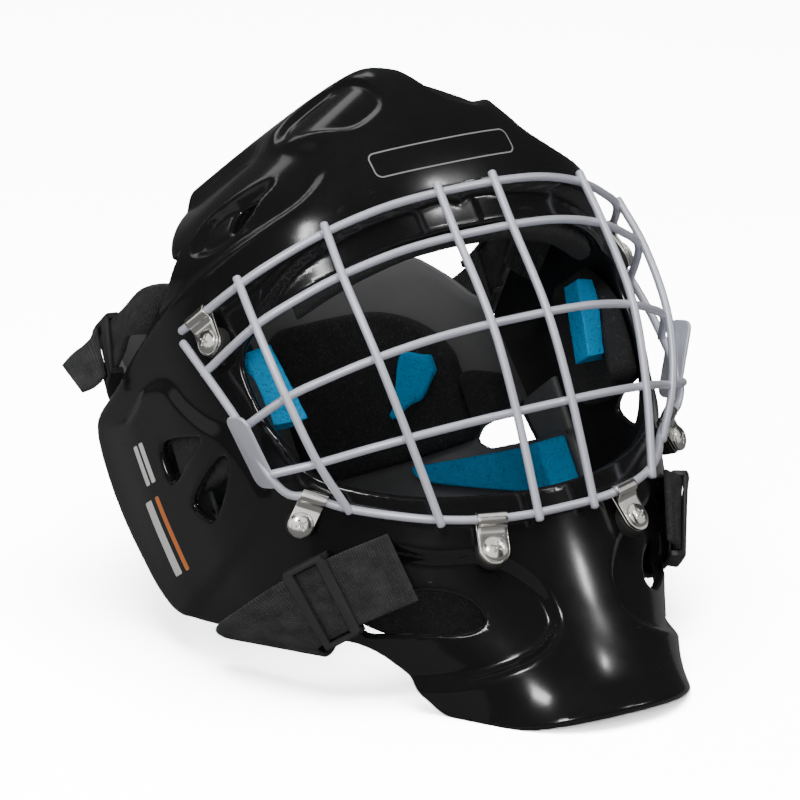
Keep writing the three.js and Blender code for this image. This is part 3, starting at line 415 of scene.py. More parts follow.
# ---------------------------------------------------------------- mesh helpers
def as_object(name: str, bm: BMesh, materials: Sequence[Material]) -> Object:
    """Turns a bmesh into a smooth-shaded object at the origin.

    Args:
        name: the piece's name.
        bm: its mesh, already in the row frame; it is freed.
        materials: its material slots in order.

    Returns:
        The new object, linked to the scene.
    """
    mesh = bpy.data.meshes.new(name)
    for face in bm.faces:
        face.smooth = True
    bm.to_mesh(mesh)
    bm.free()
    for material in materials:
        mesh.materials.append(material)
    obj = bpy.data.objects.new(name, mesh)
    bpy.context.scene.collection.objects.link(obj)
    return obj


def coordinates(verts: Iterable[BMVert]) -> Array:
    """Positions of vertices as an array."""
    return np.array([v.co[:] for v in verts], float)


def grid_places(verts: Iterable[BMVert], columns: int, rows: int) -> tuple[Array, Array]:
    """Column and row of each vertex of a grid one unit wide."""
    flat = coordinates(verts)
    return (np.rint((flat[:, 0] + 0.5) * columns).astype(int),
            np.rint((flat[:, 1] + 0.5) * rows).astype(int))


def faces_at(verts: Iterable[BMVert]) -> list[BMFace]:
    """The faces that touch vertices."""
    return list({face for vert in verts for face in vert.link_faces})


def level_edges(verts: Iterable[BMVert]) -> list[BMEdge]:
    """The edges at vertices that run level."""
    return list({edge for vert in verts for edge in vert.link_edges
                 if abs(edge.verts[0].co.z - edge.verts[1].co.z) < 1e-6})


def doubled(bm: BMesh, faces: Sequence[BMFace],
            verts: Sequence[BMVert]) -> tuple[list[BMVert], Array]:
    """Extrudes flat faces on the spot and keeps them, so that they enclose a thin body.

    Args:
        bm: the mesh.
        faces: the faces.
        verts: the vertices of the faces.

    Returns:
        (the new vertices, for each of them the number of the vertex it was copied from).
    """
    out = bmesh.ops.extrude_face_region(bm, geom=faces, use_keep_orig=True)["geom"]
    fresh = [g for g in out if isinstance(g, BMVert)]
    number = {v.co[:]: k for k, v in enumerate(verts)}
    return fresh, np.array([number[v.co[:]] for v in fresh])


def move_to(verts: Sequence[BMVert], points: Array) -> None:
    """Moves vertices to points."""
    for vert, point in zip(verts, points):
        vert.co = point


def above_floor(bm: BMesh) -> None:
    """Flattens what lies under the floor onto it."""
    for vert in bm.verts:
        vert.co.z = max(vert.co.z, 0.0)


def rounded_over(distance: Array, radius: float) -> Array:
    """Sink of a surface beside a rounded edge, at a distance from the edge."""
    d = np.clip(distance, 0, radius)
    return radius - np.sqrt(np.maximum(radius ** 2 - (radius - d) ** 2, 0))


def edge_steps(length: float, step: float, radius: float) -> Array:
    """Positions 0..length with close ones within radius of both ends.

    Args:
        length: total length in mm.
        step: spacing between the ends.
        radius: rounding radius at the ends.

    Returns:
        Increasing positions in mm.
    """
    close = radius * (1 - np.cos(np.linspace(0, math.pi / 2, 4)))
    count = max(2, int(round((length - 2 * radius) / step)) + 1)
    inner = np.linspace(radius, length - radius, count)
    return np.concatenate([close[:-1], inner, length - close[-2::-1]])


Surface = Callable[[Array, Array, Array], Array]


def plate(size: Pair, thick: float, surface: Surface,
          step: Pair = (3, 3), radius: float = 0.8, mapped: bool = False,
          reserve: Surface | None = None, grid: tuple[Array, Array] | None = None,
          bm: BMesh | None = None) -> BMesh:
    """Makes a closed curved plate with rounded edges, half its thickness on each side.

    Args:
        size: length along and width across, in mm.
        thick: thickness in mm.
        surface: maps (along 0..1, across 0..1, lift in mm) to head coordinates.
        step: grid spacing along and across.
        radius: rounding of the edges, at most half the thickness.
        mapped: whether it gets the UV map RUN, in millimetres.
        reserve: distance in mm to an inner cut-out at (along, across) in mm, negative inside it.
        grid: own positions along and across in mm.
        bm: mesh to add to, or None for a new one.

    Returns:
        The mesh, in the row frame.
    """
    bm = bm or bmesh.new()
    radius = min(radius, thick / 2)
    us, vs = grid or (edge_steps(size[0], step[0], radius), edge_steps(size[1], step[1], radius))
    lower = bmesh.ops.create_grid(
        bm, x_segments=len(us) - 1, y_segments=len(vs) - 1, size=0.5)["verts"]
    faces = faces_at(lower)
    if reserve:
        centres = np.array([f.calc_center_median()[:] for f in faces]) + 0.5
        at = [np.interp(centres[:, k] * (len(p) - 1), np.arange(len(p)), p)
              for k, p in enumerate((us, vs))]
        gone = reserve(at[0], at[1], 0) < 0
        bmesh.ops.delete(bm, geom=[f for f, g in zip(faces, gone) if g], context="FACES")
        lower = [v for v in lower if v.is_valid]
        faces = [f for f in faces if f.is_valid]
    i, j = grid_places(lower, len(us) - 1, len(vs) - 1)
    upper, order = doubled(bm, faces, lower)
    u, v = us[i], vs[j]
    edge = np.minimum(np.minimum(u, size[0] - u), np.minimum(v, size[1] - v))
    if reserve:
        edge = np.minimum(edge, np.maximum(reserve(u, v, 0), 0))
    lift = thick / 2 - rounded_over(edge, radius)
    low, top = (surface(u / size[0], v / size[1], side * lift) for side in (-1, 1))
    if mapped:
        layer = bm.loops.layers.uv.get(RUN) or bm.loops.layers.uv.new(RUN)
        place = {vert: (u[k], v[k]) for k, vert in enumerate(lower)}
        place.update({vert: (u[k], v[k]) for vert, k in zip(upper, order)})
        for face in faces_at(place):
            for loop in face.loops:
                loop[layer].uv = place[loop.vert]
    move_to(lower, REST.place(low))
    move_to(upper, REST.place(top[order]))
    bmesh.ops.recalc_face_normals(bm, faces=faces_at([*lower, *upper]))
    return bm


def tube(bm: BMesh, path: Array, radius: float, sides: int = 14) -> None:
    """Adds a round bar along a path, with domed ends.

    Args:
        bm: mesh to add to, in the row frame.
        path: points in head coordinates.
        radius: bar radius in mm.
        sides: vertices around.
    """
    points = REST.place(path)
    r = radius / METRE
    run = np.gradient(points, axis=0)
    run /= np.linalg.norm(run, axis=1, keepdims=True)
    dome = [(math.sin(a), r * 0.55 * math.cos(a)) for a in (0.15, 0.55, 1.0)]
    head = [points[0] - run[0] * out for _, out in dome]
    tail = [points[-1] + run[-1] * out for _, out in dome[::-1]]
    rounds = [r * share for share, _ in dome]
    radii = np.concatenate([rounds, np.full(len(points), r), rounds[::-1]])
    points = np.vstack([head, points, tail])
    run = np.vstack([[run[0]] * len(dome), run, [run[-1]] * len(dome)])
    across = np.cross(run[0], [0.3, 0.2, 1.0])
    ring = bmesh.ops.create_circle(bm, cap_ends=True, segments=sides, radius=1.0)["verts"]
    edges = list({e for v in ring for e in v.link_edges})
    past = Matrix.Identity(4)
    for k, (p, d) in enumerate(zip(points, run)):
        across = unit(across - d * np.dot(across, d))
        third = np.cross(d, across)
        turned = Matrix([[*(across[i] * radii[k], third[i] * radii[k], d[i] * r, p[i])]
                         for i in range(3)] + [[0, 0, 0, 1]])
        if k:
            out = bmesh.ops.extrude_edge_only(bm, edges=edges)["geom"]
            ring = [g for g in out if isinstance(g, BMVert)]
            edges = [g for g in out if isinstance(g, BMEdge)]
            edges = [e for e in edges if all(v in ring for v in e.verts)]
        bmesh.ops.transform(bm, matrix=turned @ past.inverted(), verts=ring)
        past = turned
    bmesh.ops.contextual_create(bm, geom=edges)


# ---------------------------------------------------------------- pieces
class Finish(Enum):
    """The finishes on the mask, each the record's slot of the same name."""

    SHELL = "shell"
    SHELL_INSIDE = "shell inside"
    CAGE = "cage"
    HARDWARE = "hardware"
    WASHER = "washer_rubber"
    BLACK_FOAM = "black_foam"
    BLUE_FOAM = "blue_foam"
    PLATE = "grey_plastic"
    WEBBING = "webbing"
    SLIDE = "slide_plastic"


@dataclass(frozen=True)
class Rack:
    """Turns meshes into pieces and hangs them on the frame.

    Attributes:
        finishes: the materials by finish.
    """

    finishes: dict[Finish, Material]

    def hang(self, name: str, bm: BMesh, finish: Finish, *nodes: str,
             foam: float | None = None, slot: Finish | None = None,
             inside: Finish | None = None) -> None:
        """Hangs a piece on the frame, in place of the CAD nodes it stands for.

        Args:
            name: the piece's name.
            bm: its mesh, in the row frame; it is freed.
            finish: what it is dressed in.
            nodes: CAD nodes that it replaces.
            foam: fill of a padded piece, or None; not used.
            slot: the record's slot it belongs to, where that isn't its finish's; not used.
            inside: finish of its faces with the second material, if it has any.
        """
        materials = [self.finishes[each] for each in (finish, inside) if each]
        obj = as_object(name, bm, materials)
        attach(obj, "root")
        if nodes:
            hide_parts(*nodes)
        log.info("%s: %d faces", obj.name, len(obj.data.polygons))


# ---------------------------------------------------------------- finishes
Colour = tuple[float, float, float, float]
Socket = bpy.types.NodeSocket


def grey(level: float, blue: float | None = None) -> Colour:
    """A grey of one level, or with its own level of blue."""
    return level, level, level if blue is None else blue, 1


class Graph:
    """A node tree being built, with short calls for its nodes and links."""

    def __init__(self, tree: NodeTree) -> None:
        """Starts on a node tree."""
        self.tree = tree

    def add(self, kind: str, inputs: dict | None = None, **settings) -> bpy.types.Node:
        """Adds a node, sets its properties, then sets or links its inputs.

        Args:
            kind: node type without its ShaderNode prefix.
            inputs: socket name or index to a constant or an output socket.
            **settings: properties of the node.

        Returns:
            The new node.
        """
        node = self.tree.nodes.new("ShaderNode" + kind)
        for name, value in settings.items():
            setattr(node, name, value)
        for key, value in (inputs or {}).items():
            self.feed(node.inputs[key], value)
        return node

    def feed(self, socket: Socket, value) -> None:
        """Links an output to a socket, or sets it to a constant."""
        if isinstance(value, Socket):
            self.tree.links.new(value, socket)
        else:
            socket.default_value = value

    def math(self, operation: str, *values) -> Socket:
        """Output of a math node on one, two or three values."""
        return self.add("Math", dict(enumerate(values)), operation=operation).outputs[0]

    def times(self, first, second) -> Socket:
        """Product of two values."""
        return self.math("MULTIPLY", first, second)

    def mix(self, factor, first, second) -> Socket:
        """Colour between first and second."""
        return self.add("Mix", {0: factor, 6: first, 7: second}, data_type="RGBA").outputs[2]

    def span(self, value, low: float, high: float, start: float = 0.0, end: float = 1.0) -> Socket:
        """Value remapped from low..high to start..end, clamped."""
        return self.add("MapRange", {0: value, 1: low, 2: high, 3: start, 4: end}).outputs[0]

    def noise(self, where, scale: float, detail: float = 3.0, rough: float = 0.55) -> Socket:
        """Value of a noise texture about 0.5."""
        return self.add("TexNoise", {"Vector": where, "Scale": scale, "Detail": detail,
                                     "Roughness": rough}).outputs["Fac"]

    def objects(self) -> Socket:
        """Object coordinates."""
        return self.add("TexCoord").outputs["Object"]

    def use(self, group: NodeTree, **inputs) -> dict[str, Socket]:
        """Adds a node group and sets its inputs.

        Args:
            group: the group.
            **inputs: its inputs by name.

        Returns:
            Its outputs by name.
        """
        return self.add("Group", inputs, node_tree=group).outputs


class Group:
    """A node group being built on one vector input.

    Attributes:
        tree: the node group.
        graph: short calls for its nodes.
        enter: its inputs by name.
        leave: its outputs in order.
    """

    def __init__(self, name: str, outputs: Sequence[str], **inputs: float) -> None:
        """Starts a node group.

        Args:
            name: its name.
            outputs: names of its float outputs.
            **inputs: float inputs with their defaults, beside the input Vector.
        """
        self.tree = bpy.data.node_groups.new(name, "ShaderNodeTree")
        add = self.tree.interface.new_socket
        add("Vector", in_out="INPUT", socket_type="NodeSocketVector")
        for label, default in inputs.items():
            add(label, in_out="INPUT", socket_type="NodeSocketFloat").default_value = default
        for label in outputs:
            add(label, in_out="OUTPUT", socket_type="NodeSocketFloat")
        self.graph = Graph(self.tree)
        self.enter = self.tree.nodes.new("NodeGroupInput").outputs
        self.leave = self.tree.nodes.new("NodeGroupOutput").inputs

    def done(self, *values: Socket) -> NodeTree:
        """Feeds the outputs in order and returns the finished group."""
        for socket, value in zip(self.leave, values):
            self.graph.feed(socket, value)
        return self.tree


def grain_group() -> NodeTree:
    """Group: fine speckle and slow patches of a moulded or painted surface."""
    group = Group("fine grain", ("Speckle", "Patches"), Size=0.0008)
    g, where = group.graph, group.enter["Vector"]
    scale = g.math("DIVIDE", 1.0, group.enter["Size"])
    fine = g.add("TexNoise", {"Vector": where, "Scale": scale, "Detail": 3.0})
    return group.done(fine.outputs["Fac"], g.span(g.noise(where, 28.0, 3.0), 0.3, 0.7))


def dust_group() -> NodeTree:
    """Group: dust on faces that look up, broken by noise."""
    group = Group("dust", ("Dust",))
    g = group.graph
    facing = g.add("SeparateXYZ", {0: g.add("NewGeometry").outputs["Normal"]}).outputs["Z"]
    cloud = g.span(g.noise(group.enter["Vector"], 90.0, 5.0, 0.7), 0.35, 0.75)
    return group.done(g.times(g.span(facing, -0.1, 0.9), cloud))


def scuff_group() -> NodeTree:
    """Group: sparse fine scratches on glossy paint."""
    group = Group("scuffs", ("Scuffs",))
    g, where = group.graph, group.enter["Vector"]
    lines = []
    for turn, stretch in ((0.5, 9.0), (2.2, 14.0)):
        turned = g.add("Mapping", {"Vector": where, "Rotation": (turn, 0.4, turn * 1.7),
                                   "Scale": (stretch, 160.0, 160.0)}).outputs[0]
        lines.append(g.span(g.noise(turned, 1.6, 2.0), 0.69, 0.74))
    patch = g.span(g.noise(where, 14.0, 2.0), 0.45, 0.6)
    return group.done(g.times(g.math("MAXIMUM", *lines), patch))


def weave_group() -> NodeTree:
    """Group: elastic webbing on a UV map in millimetres, ribs across and threads along."""
    group = Group("elastic weave", ("Height", "Edge"), Rib=1.1, Thread=1.0)
    g, run = group.graph, group.enter["Vector"]

    def wave(value: Socket) -> Socket:
        """Rounded humps, one for each whole step of a value."""
        return g.math("ABSOLUTE", g.math("SINE", g.times(value, math.pi)))

    parts = g.add("SeparateXYZ", {0: run}).outputs
    wobble = g.times(g.math("SUBTRACT", g.noise(run, 0.25, 2.0), 0.5), 0.5)
    rib = g.math("DIVIDE", g.math("ADD", parts["X"], wobble), group.enter["Rib"])
    thread = g.math("DIVIDE", parts["Y"], group.enter["Thread"])
    shifted = g.math("ADD", thread, g.times(g.math("FLOOR", rib), 0.5))
    woven = g.math("ADD", g.times(wave(rib), 0.35), g.times(wave(shifted), 0.35))
    fuzz = g.times(g.noise(run, 2.6, 3.0, 0.7), 0.75)
    # Edge is slow noise, not an edge; it varies the webbing's painted highlight
    return group.done(g.math("ADD", woven, fuzz), g.span(g.noise(run, 0.12, 3.0), 0.35, 0.65))


def fibre_group() -> NodeTree:
    """Group: brushed, fuzzy cloth made of short clumped fibres."""
    group = Group("fuzz", ("Height", "Lint"))
    g, where = group.graph, group.enter["Vector"]
    swirl = g.add("TexNoise", {"Vector": where, "Scale": 260.0, "Detail": 3.0,
                               "Distortion": 1.6}).outputs["Fac"]
    hair = g.add("TexNoise", {"Vector": where, "Scale": 900.0, "Detail": 4.0, "Roughness": 0.75,
                              "Distortion": 2.4}).outputs["Fac"]
    return group.done(g.math("ADD", g.times(swirl, 0.9), hair), g.span(hair, 0.56, 0.7))


def pore_group() -> NodeTree:
    """Group: the open pores of cut foam, as bumps and as the mask where their painted shade goes.
    """
    group = Group("foam pores", ("Height", "Pores"))
    g, where = group.graph, group.enter["Vector"]
    small, big = (g.add("TexVoronoi", {"Vector": where, "Scale": scale}).outputs["Distance"]
                  for scale in (620.0, 230.0))
    height = g.math("ADD", g.span(small, 0.05, 0.5), g.times(g.span(big, 0.1, 0.3), 0.8))
    return group.done(height, g.times(g.span(small, 0.0, 0.35), g.span(big, 0.02, 0.2)))


def marks_group() -> NodeTree:
    """Group: plain badge outline on the forehead and slanted bars on the side panel.

    Reads head coordinates in millimetres. Paint is the mask, Tint runs from white to orange.
    """
    group = Group("painted marks", ("Paint", "Tint"))
    g = group.graph
    side, front, up = g.add("SeparateXYZ", {0: group.enter["Vector"]}).outputs[:3]

    def box(a: Socket, b: Socket, centre: Pair, half: Pair,
            slant: float, corner: float) -> Socket:
        """Distance to a rounded, slanted box, negative inside."""
        across = g.math("SUBTRACT", b, centre[1])
        along = g.math("SUBTRACT", g.math("SUBTRACT", a, centre[0]), g.times(across, slant))
        past = [g.math("SUBTRACT", g.math("ABSOLUTE", way), reach - corner)
                for way, reach in ((along, half[0]), (across, half[1]))]
        dx, dy = (g.math("MAXIMUM", way, 0.0) for way in past)
        away = g.math("SQRT", g.math("ADD", g.times(dx, dx), g.times(dy, dy)))
        return g.math("SUBTRACT", away, corner)

    badge = box(side, up, (0.0, 82.0), (35.0, 5.6), 0.0, 3.0)
    rim = g.math("SUBTRACT", 1.0, g.span(g.math("ABSOLUTE", badge), 0.15, 0.4))
    outline = g.times(rim, g.math("GREATER_THAN", front, -40.0))
    outside = g.math("GREATER_THAN", g.math("ABSOLUTE", side), 70.0)
    bars, bar = None, None
    for centre, half in (((-119.0, 2.0), (1.7, 9.0)), ((-114.0, 2.0), (1.7, 9.0)),
                         ((-120.5, -30.0), (3.0, 17.0)), ((-112.5, -30.0), (1.5, 17.0))):
        edge = g.span(box(front, up, centre, half, -0.12, 0.8), -0.15, 0.15)
        bar = g.times(g.math("SUBTRACT", 1.0, edge), outside)
        bars = g.math("MAXIMUM", bars, bar) if bars else bar
    orange = bar  # the last one
    return group.done(g.math("MAXIMUM", g.times(outline, 0.45), bars), orange)


@dataclass(frozen=True)
class Grained:
    """A hard finish with fine grain in two tones.

    Attributes:
        finish: the finish.
        tones: its two tones.
        rough: least and greatest roughness.
        bump: strength and depth of its grain.
        grain: size of the grain in metres.
        metallic: how much of a metal it is.
        dust: share and colour of dust on it, or None.
    """

    finish: Finish
    tones: tuple[Colour, Colour]
    rough: Pair
    bump: Pair
    grain: float = 0.0007
    metallic: float = 0.0
    dust: tuple[float, Colour] | None = (0.05, grey(0.3))


@dataclass(frozen=True)
class Surfaces:
    """Builds every finish once.

    Attributes:
        shell_rough: roughness of the gloss shell.
        marks: the two colours of the painted marks.
        grained: the hard finishes.
        made: the materials built so far.
    """

    shell_rough: float = 0.14
    shell_black: Colour = grey(0.0095, 0.0098)
    marks: tuple[Colour, Colour] = (grey(0.88, 0.86), (0.90, 0.22, 0.03, 1))
    foam_blue: tuple[Colour, Colour] = ((0.0, 0.42, 0.88, 1), (0.0, 0.48, 0.95, 1))
    # painted shade: the darker blue painted into the foam's pores
    pore_shade_blue: Colour = (0.0, 0.33, 0.72, 1)
    cloth_black: tuple[Colour, Colour] = (grey(0.036, 0.037), grey(0.22, 0.226))
    # painted shade and highlight: the dark tone for the weave's low places, the light one for its
    # raised threads
    webbing: tuple[Colour, Colour] = (grey(0.005, 0.0052), grey(0.125, 0.129))
    lint: Colour = grey(0.34, 0.35)
    grained: tuple[Grained, ...] = (
        Grained(Finish.CAGE, ((0.75, 0.76, 0.85, 1), (0.68, 0.69, 0.78, 1)), (0.30, 0.42),
                (0.10, 0.0003), 0.0009, 0.25, (0.10, (0.5, 0.49, 0.46, 1))),
        Grained(Finish.HARDWARE, ((0.72, 0.71, 0.68, 1), (0.66, 0.64, 0.60, 1)), (0.17, 0.21),
                (0.006, 0.0002), 0.0006, 1.0, None),
        Grained(Finish.PLATE, (grey(0.135, 0.139), grey(0.165, 0.169)), (0.42, 0.58),
                (0.12, 0.0003)),
        Grained(Finish.SLIDE, (grey(0.034, 0.035), grey(0.050, 0.0515)), (0.32, 0.46),
                (0.15, 0.0003)),
        Grained(Finish.WASHER, (grey(0.02), (0.035, 0.034, 0.032, 1)), (0.7, 0.9), (0.2, 0.0003)))
    made: dict[Finish, Material] = field(default_factory=dict)

    def start(self, finish: Finish) -> tuple[Graph, Socket]:
        """Starts the material of a finish.

        Args:
            finish: the finish.

        Returns:
            (its graph, object coordinates).
        """
        material = bpy.data.materials.new(finish.value.replace(" ", "_") + "_finish")
        material.use_nodes = True
        self.made[finish] = material
        graph = Graph(material.node_tree)
        return graph, graph.objects()

    def finish(self, g: Graph, height: Socket, bump: Pair, **inputs) -> None:
        """Feeds a material's shader.

        Args:
            g: graph of the material.
            height: height of its bumps.
            bump: strength and depth of them.
            **inputs: inputs of the shader, with underscores for spaces.
        """
        shader = g.tree.nodes["Principled BSDF"]
        bumped = g.add("Bump", {"Strength": bump[0], "Distance": bump[1], "Height": height})
        for name, value in {**inputs, "Normal": bumped.outputs[0]}.items():
            g.feed(shader.inputs[name.replace("_", " ")], value)

    def build(self) -> dict[Finish, Material]:
        """All the materials by finish."""
        grain, dust = grain_group(), dust_group()
        self.shell_inside(grain, dust)
        self.shell(grain, dust)
        self.cloth()
        self.foam()
        self.elastic(dust)
        for look in self.grained:
            self.hard(look, grain, dust)
        return self.made

    def shell(self, grain: NodeTree, dust: NodeTree) -> None:
        """Gloss black paint with the painted marks."""
        g, where = self.start(Finish.SHELL)
        fine = g.use(grain, Vector=where, Size=0.0011)
        dusty = g.use(dust, Vector=where)["Dust"]
        colour = g.mix(g.times(dusty, 0.018), self.shell_black, grey(0.12))
        mapped = g.add("Mapping", {"Vector": where, "Location": (
            0.0, -REST.setback / METRE, -REST.height / METRE)}).outputs[0]
        turned = g.add("VectorRotate", {"Vector": mapped, "Angle": REST.lean},
                       rotation_type="X_AXIS").outputs[0]
        head = g.add("VectorMath", {0: turned, 1: (METRE, -METRE, METRE)}, operation="MULTIPLY")
        marked = g.use(marks_group(), Vector=head.outputs[0])
        colour = g.mix(marked["Paint"], colour, g.mix(marked["Tint"], *self.marks))
        rough = g.span(fine["Patches"], 0, 1, self.shell_rough, self.shell_rough + 0.05)
        scratched = g.use(scuff_group(), Vector=where)["Scuffs"]
        rough = g.math("ADD", rough, g.times(scratched, 0.22))
        rough = g.math("ADD", rough, g.times(dusty, 0.06))
        self.finish(g, fine["Speckle"], (0.02, 0.0004), Base_Color=colour, Roughness=rough,
                    Coat_Weight=0.25, Coat_Roughness=0.1)

    def shell_inside(self, grain: NodeTree, dust: NodeTree) -> None:
        """The duller inside of the shell."""
        g, where = self.start(Finish.SHELL_INSIDE)
        fine = g.use(grain, Vector=where, Size=0.0011)
        dusty = g.use(dust, Vector=where)["Dust"]
        colour = g.mix(g.times(dusty, 0.018), self.shell_black, grey(0.12))
        rough = g.math("ADD", g.span(fine["Patches"], 0, 1, 0.4, 0.5), g.times(dusty, 0.06))
        self.finish(g, fine["Speckle"], (0.05, 0.0004), Base_Color=colour, Roughness=rough)

    def cloth(self) -> None:
        """Brushed cloth on the black pads."""
        g, where = self.start(Finish.BLACK_FOAM)
        hair = g.use(fibre_group(), Vector=where)
        self.finish(g, hair["Height"], (0.9, 0.0016),
                    Base_Color=g.mix(hair["Lint"], *self.cloth_black),
                    Roughness=g.span(g.noise(where, 60.0), 0.3, 0.7, 0.85, 0.97), Sheen_Weight=0.06)

    def foam(self) -> None:
        """Cut blue foam with open pores, the pores painted a darker blue as painted shade."""
        g, where = self.start(Finish.BLUE_FOAM)
        pitted = g.use(pore_group(), Vector=where)
        soft = g.mix(g.span(g.noise(where, 45.0, 4.0), 0.3, 0.7), *self.foam_blue)
        # painted shade: the pores are coloured the darker blue
        self.finish(g, pitted["Height"], (0.6, 0.0006),
                    Base_Color=g.mix(pitted["Pores"], self.pore_shade_blue, soft),
                    Roughness=g.span(g.noise(where, 200.0), 0.3, 0.7, 0.72, 0.9))

    def elastic(self, dust: NodeTree) -> None:
        """Woven elastic webbing with lint on it, its raised threads painted lighter and its low
        ones darker as painted highlight and shade.
        """
        g, where = self.start(Finish.WEBBING)
        run = g.add("UVMap", uv_map=RUN).outputs[0]
        woven = g.use(weave_group(), Vector=run)
        # painted highlight and shade: lighter where the weave is raised, darker where it is low
        raised = g.span(woven["Height"], 0.2, 1.2)
        raised_highlight = g.times(raised, g.span(woven["Edge"], 0, 1, 0.5, 1.0))
        specks = g.times(g.span(g.noise(run, 1.9, 2.0, 0.4), 0.66, 0.70), 0.5)
        tone = g.mix(specks, g.mix(raised_highlight, *self.webbing), self.lint)
        dusty = g.times(g.use(dust, Vector=where)["Dust"], 0.08)
        self.finish(g, woven["Height"], (1.0, 0.0011), Base_Color=g.mix(dusty, tone, grey(0.12)),
                    Roughness=g.span(raised, 0, 1, 0.95, 0.75), Sheen_Weight=0.04)

    def hard(self, look: Grained, grain: NodeTree, dust: NodeTree) -> None:
        """Silver paint, nickel, moulded plastic or rubber."""
        g, where = self.start(look.finish)
        fine = g.use(grain, Vector=where, Size=look.grain)
        tone = g.mix(fine["Patches"], *look.tones)
        if look.dust:
            share, colour = look.dust
            tone = g.mix(g.times(g.use(dust, Vector=where)["Dust"], share), tone, colour)
        self.finish(g, fine["Speckle"], look.bump, Base_Color=tone, Metallic=look.metallic,
                    Roughness=g.span(fine["Speckle"], 0.3, 0.7, *look.rough))


# ---------------------------------------------------------------- shell
@dataclass
class Shell:
    """The hard shell: trimmed, with its face opening, vents and strap slots.

    Attributes:
        spacing: grid spacing in mm.
        roll: radius of the rounded outer edge.
        roll_inside: radius of the rounded inner edge.
        snap: share of a grid edge within which a cut moves its end instead of splitting it.
        trim: side view of its rear and lower edge.
        face: half of the face opening, in the face view.
        vents: side view of its vents.
        slot: face view of its strap slots.
        limits: (view, outline, whether the shell is inside it) of every edge.
    """

    spacing: float = 1.9
    roll: float = 1.5
    roll_inside: float = 0.9
    snap: float = 0.22
    trim: tuple[Pair, ...] = (
        (-73, 79), (-82, 67), (-116, 50), (-150, 33), (-154, 28), (-155, 12), (-153, -6),
        (-148, -28), (-143, -46), (-137, -58), (-128, -65), (-113, -73), (-90, -86), (-70, -96),
        (-56, -101), (-49, -108), (-43, -122), (-39, -134), (-36, -143.1), (-12, -158.4),
        (3, -163), (40, -170))
    face: tuple[Pair, ...] = (
        (0, 49), (35, 47.5), (58, 43.5), (76, 39), (90, 33), (97.5, 26), (99.5, 14), (98, -4),
        (94, -18), (89, -31), (79, -42), (63, -52), (46, -58.5), (24, -63.5), (0, -65.5))
    vents: tuple[tuple[Pair, ...], ...] = (
        ((-101, 3), (-94, 5.5), (-76, 1.5), (-71, -2), (-95, -11), (-101, -9)),
        ((-62, -12), (-59, -16), (-67, -27), (-77, -34), (-83, -32), (-89, -25), (-84, -20)),
        ((-43, 77), (-42, 85), (-30, 84), (-34, 76)))
    slot: tuple[Pair, ...] = (
        (77, -90), (64, -91), (54, -95), (46, -101), (42, -108), (43, -113), (50, -114), (66, -107),
        (78, -100))
    limits: list[tuple[View, Outline, bool]] = field(init=False)

    def __post_init__(self) -> None:
        """Prepares the outlines that the shell is kept inside or outside of."""
        rear = Spline(self.trim).stations(2.2)
        around = np.vstack([rear, [[60, -170], [60, 150], [-140, 150], [-140, 79.6]]])
        whole = [*self.face, *((-x, u) for x, u in self.face[-2:0:-1])]
        self.limits = [(View.SIDE, Outline(around, rounding=False), True),
                       (View.FACE, Outline(whole), False), (View.FACE, Outline(self.slot), False),
                       *((View.SIDE, Outline(vent), False) for vent in self.vents)]

    def reserves(self, p: Array) -> list[Array]:
        """For each limit, how far points are from it in its plane, positive where kept."""
        found = []
        for number, (view, outline, inside) in enumerate(self.limits):
            value = np.full(p.shape[:-1], FAR)
            seen = np.ones(value.shape, bool) if number == 0 else view.sees(p)
            a, b = view.plane(p[seen])
            value[seen] = outline.distance(a, b) * (1 if inside else -1)
            found.append(value)
        side, front, up = np.abs(p[..., 0]), p[..., 1], p[..., 2]
        rear = front + 118 - 47 * (side / 97) ** 3  # the crown's rear edge, bowed in the top view
        found.append(np.where(up > 78.5, rear, FAR))
        return found

    def distance(self, angle: Array, level: Array) -> Array:
        """Distance over the surface to the nearest edge, positive where the shell is."""
        up = 0.4
        turn = up / 90.0
        here = FORM.point(angle, level)
        east = (FORM.point(angle + turn, level) - FORM.point(angle - turn, level)) / 2
        north = (FORM.point(angle, level + up) - FORM.point(angle, level - up)) / 2
        around = [self.reserves(here + step) for step in (0, east, -east, north, -north)]
        ee, nn, en = (np.maximum(np.sum(a * b, -1), 1e-9 if a is b else -np.inf)
                      for a, b in ((east, east), (north, north), (east, north)))
        det = np.maximum(ee * nn - en * en, 1e-9)
        best = np.full(angle.shape, np.inf)
        for value, e1, e0, n1, n0 in zip(*around):
            ge, gn = (e1 - e0) / 2, (n1 - n0) / 2
            steep = (nn * ge * ge - 2 * en * ge * gn + ee * gn * gn) / det
            best = np.minimum(best, value / np.sqrt(np.clip(steep, 0.15, 4.0)))
        return best

    def cut_along(self, bm: BMesh, far: dict, value: float) -> None:
        """Cuts the parameter grid where the distance equals value.

        Args:
            bm: grid in (angle, level).
            far: distance of each vertex, kept up to date.
            value: the distance to cut at.
        """
        def crosses(a: BMVert, b: BMVert) -> bool:
            return (far[a] - value) * (far[b] - value) < 0

        on = {v for v in bm.verts if abs(far[v] - value) < ON_EDGE}
        for edge in [e for e in bm.edges if crosses(*e.verts)]:
            a, b = edge.verts
            if a in on or b in on or not crosses(a, b):
                continue
            t = (value - far[a]) / (far[b] - far[a])
            at = a.co.lerp(b.co, t)
            if t < self.snap and abs(far[a]) > ON_EDGE and not self.on_rim(a):
                cut = a
            elif t > 1 - self.snap and abs(far[b]) > ON_EDGE and not self.on_rim(b):
                cut = b
            else:
                _, cut = bmesh.utils.edge_split(edge, a, t)
            cut.co, far[cut] = at, value
            on.add(cut)
        bmesh.ops.connect_verts(bm, verts=[vert for vert in bm.verts if vert in on])

    @staticmethod
    def on_rim(vert: BMVert) -> bool:
        """Whether a grid vertex lies on the middle plane of the head."""
        return vert.co.x < ON_EDGE or vert.co.x > math.pi - ON_EDGE

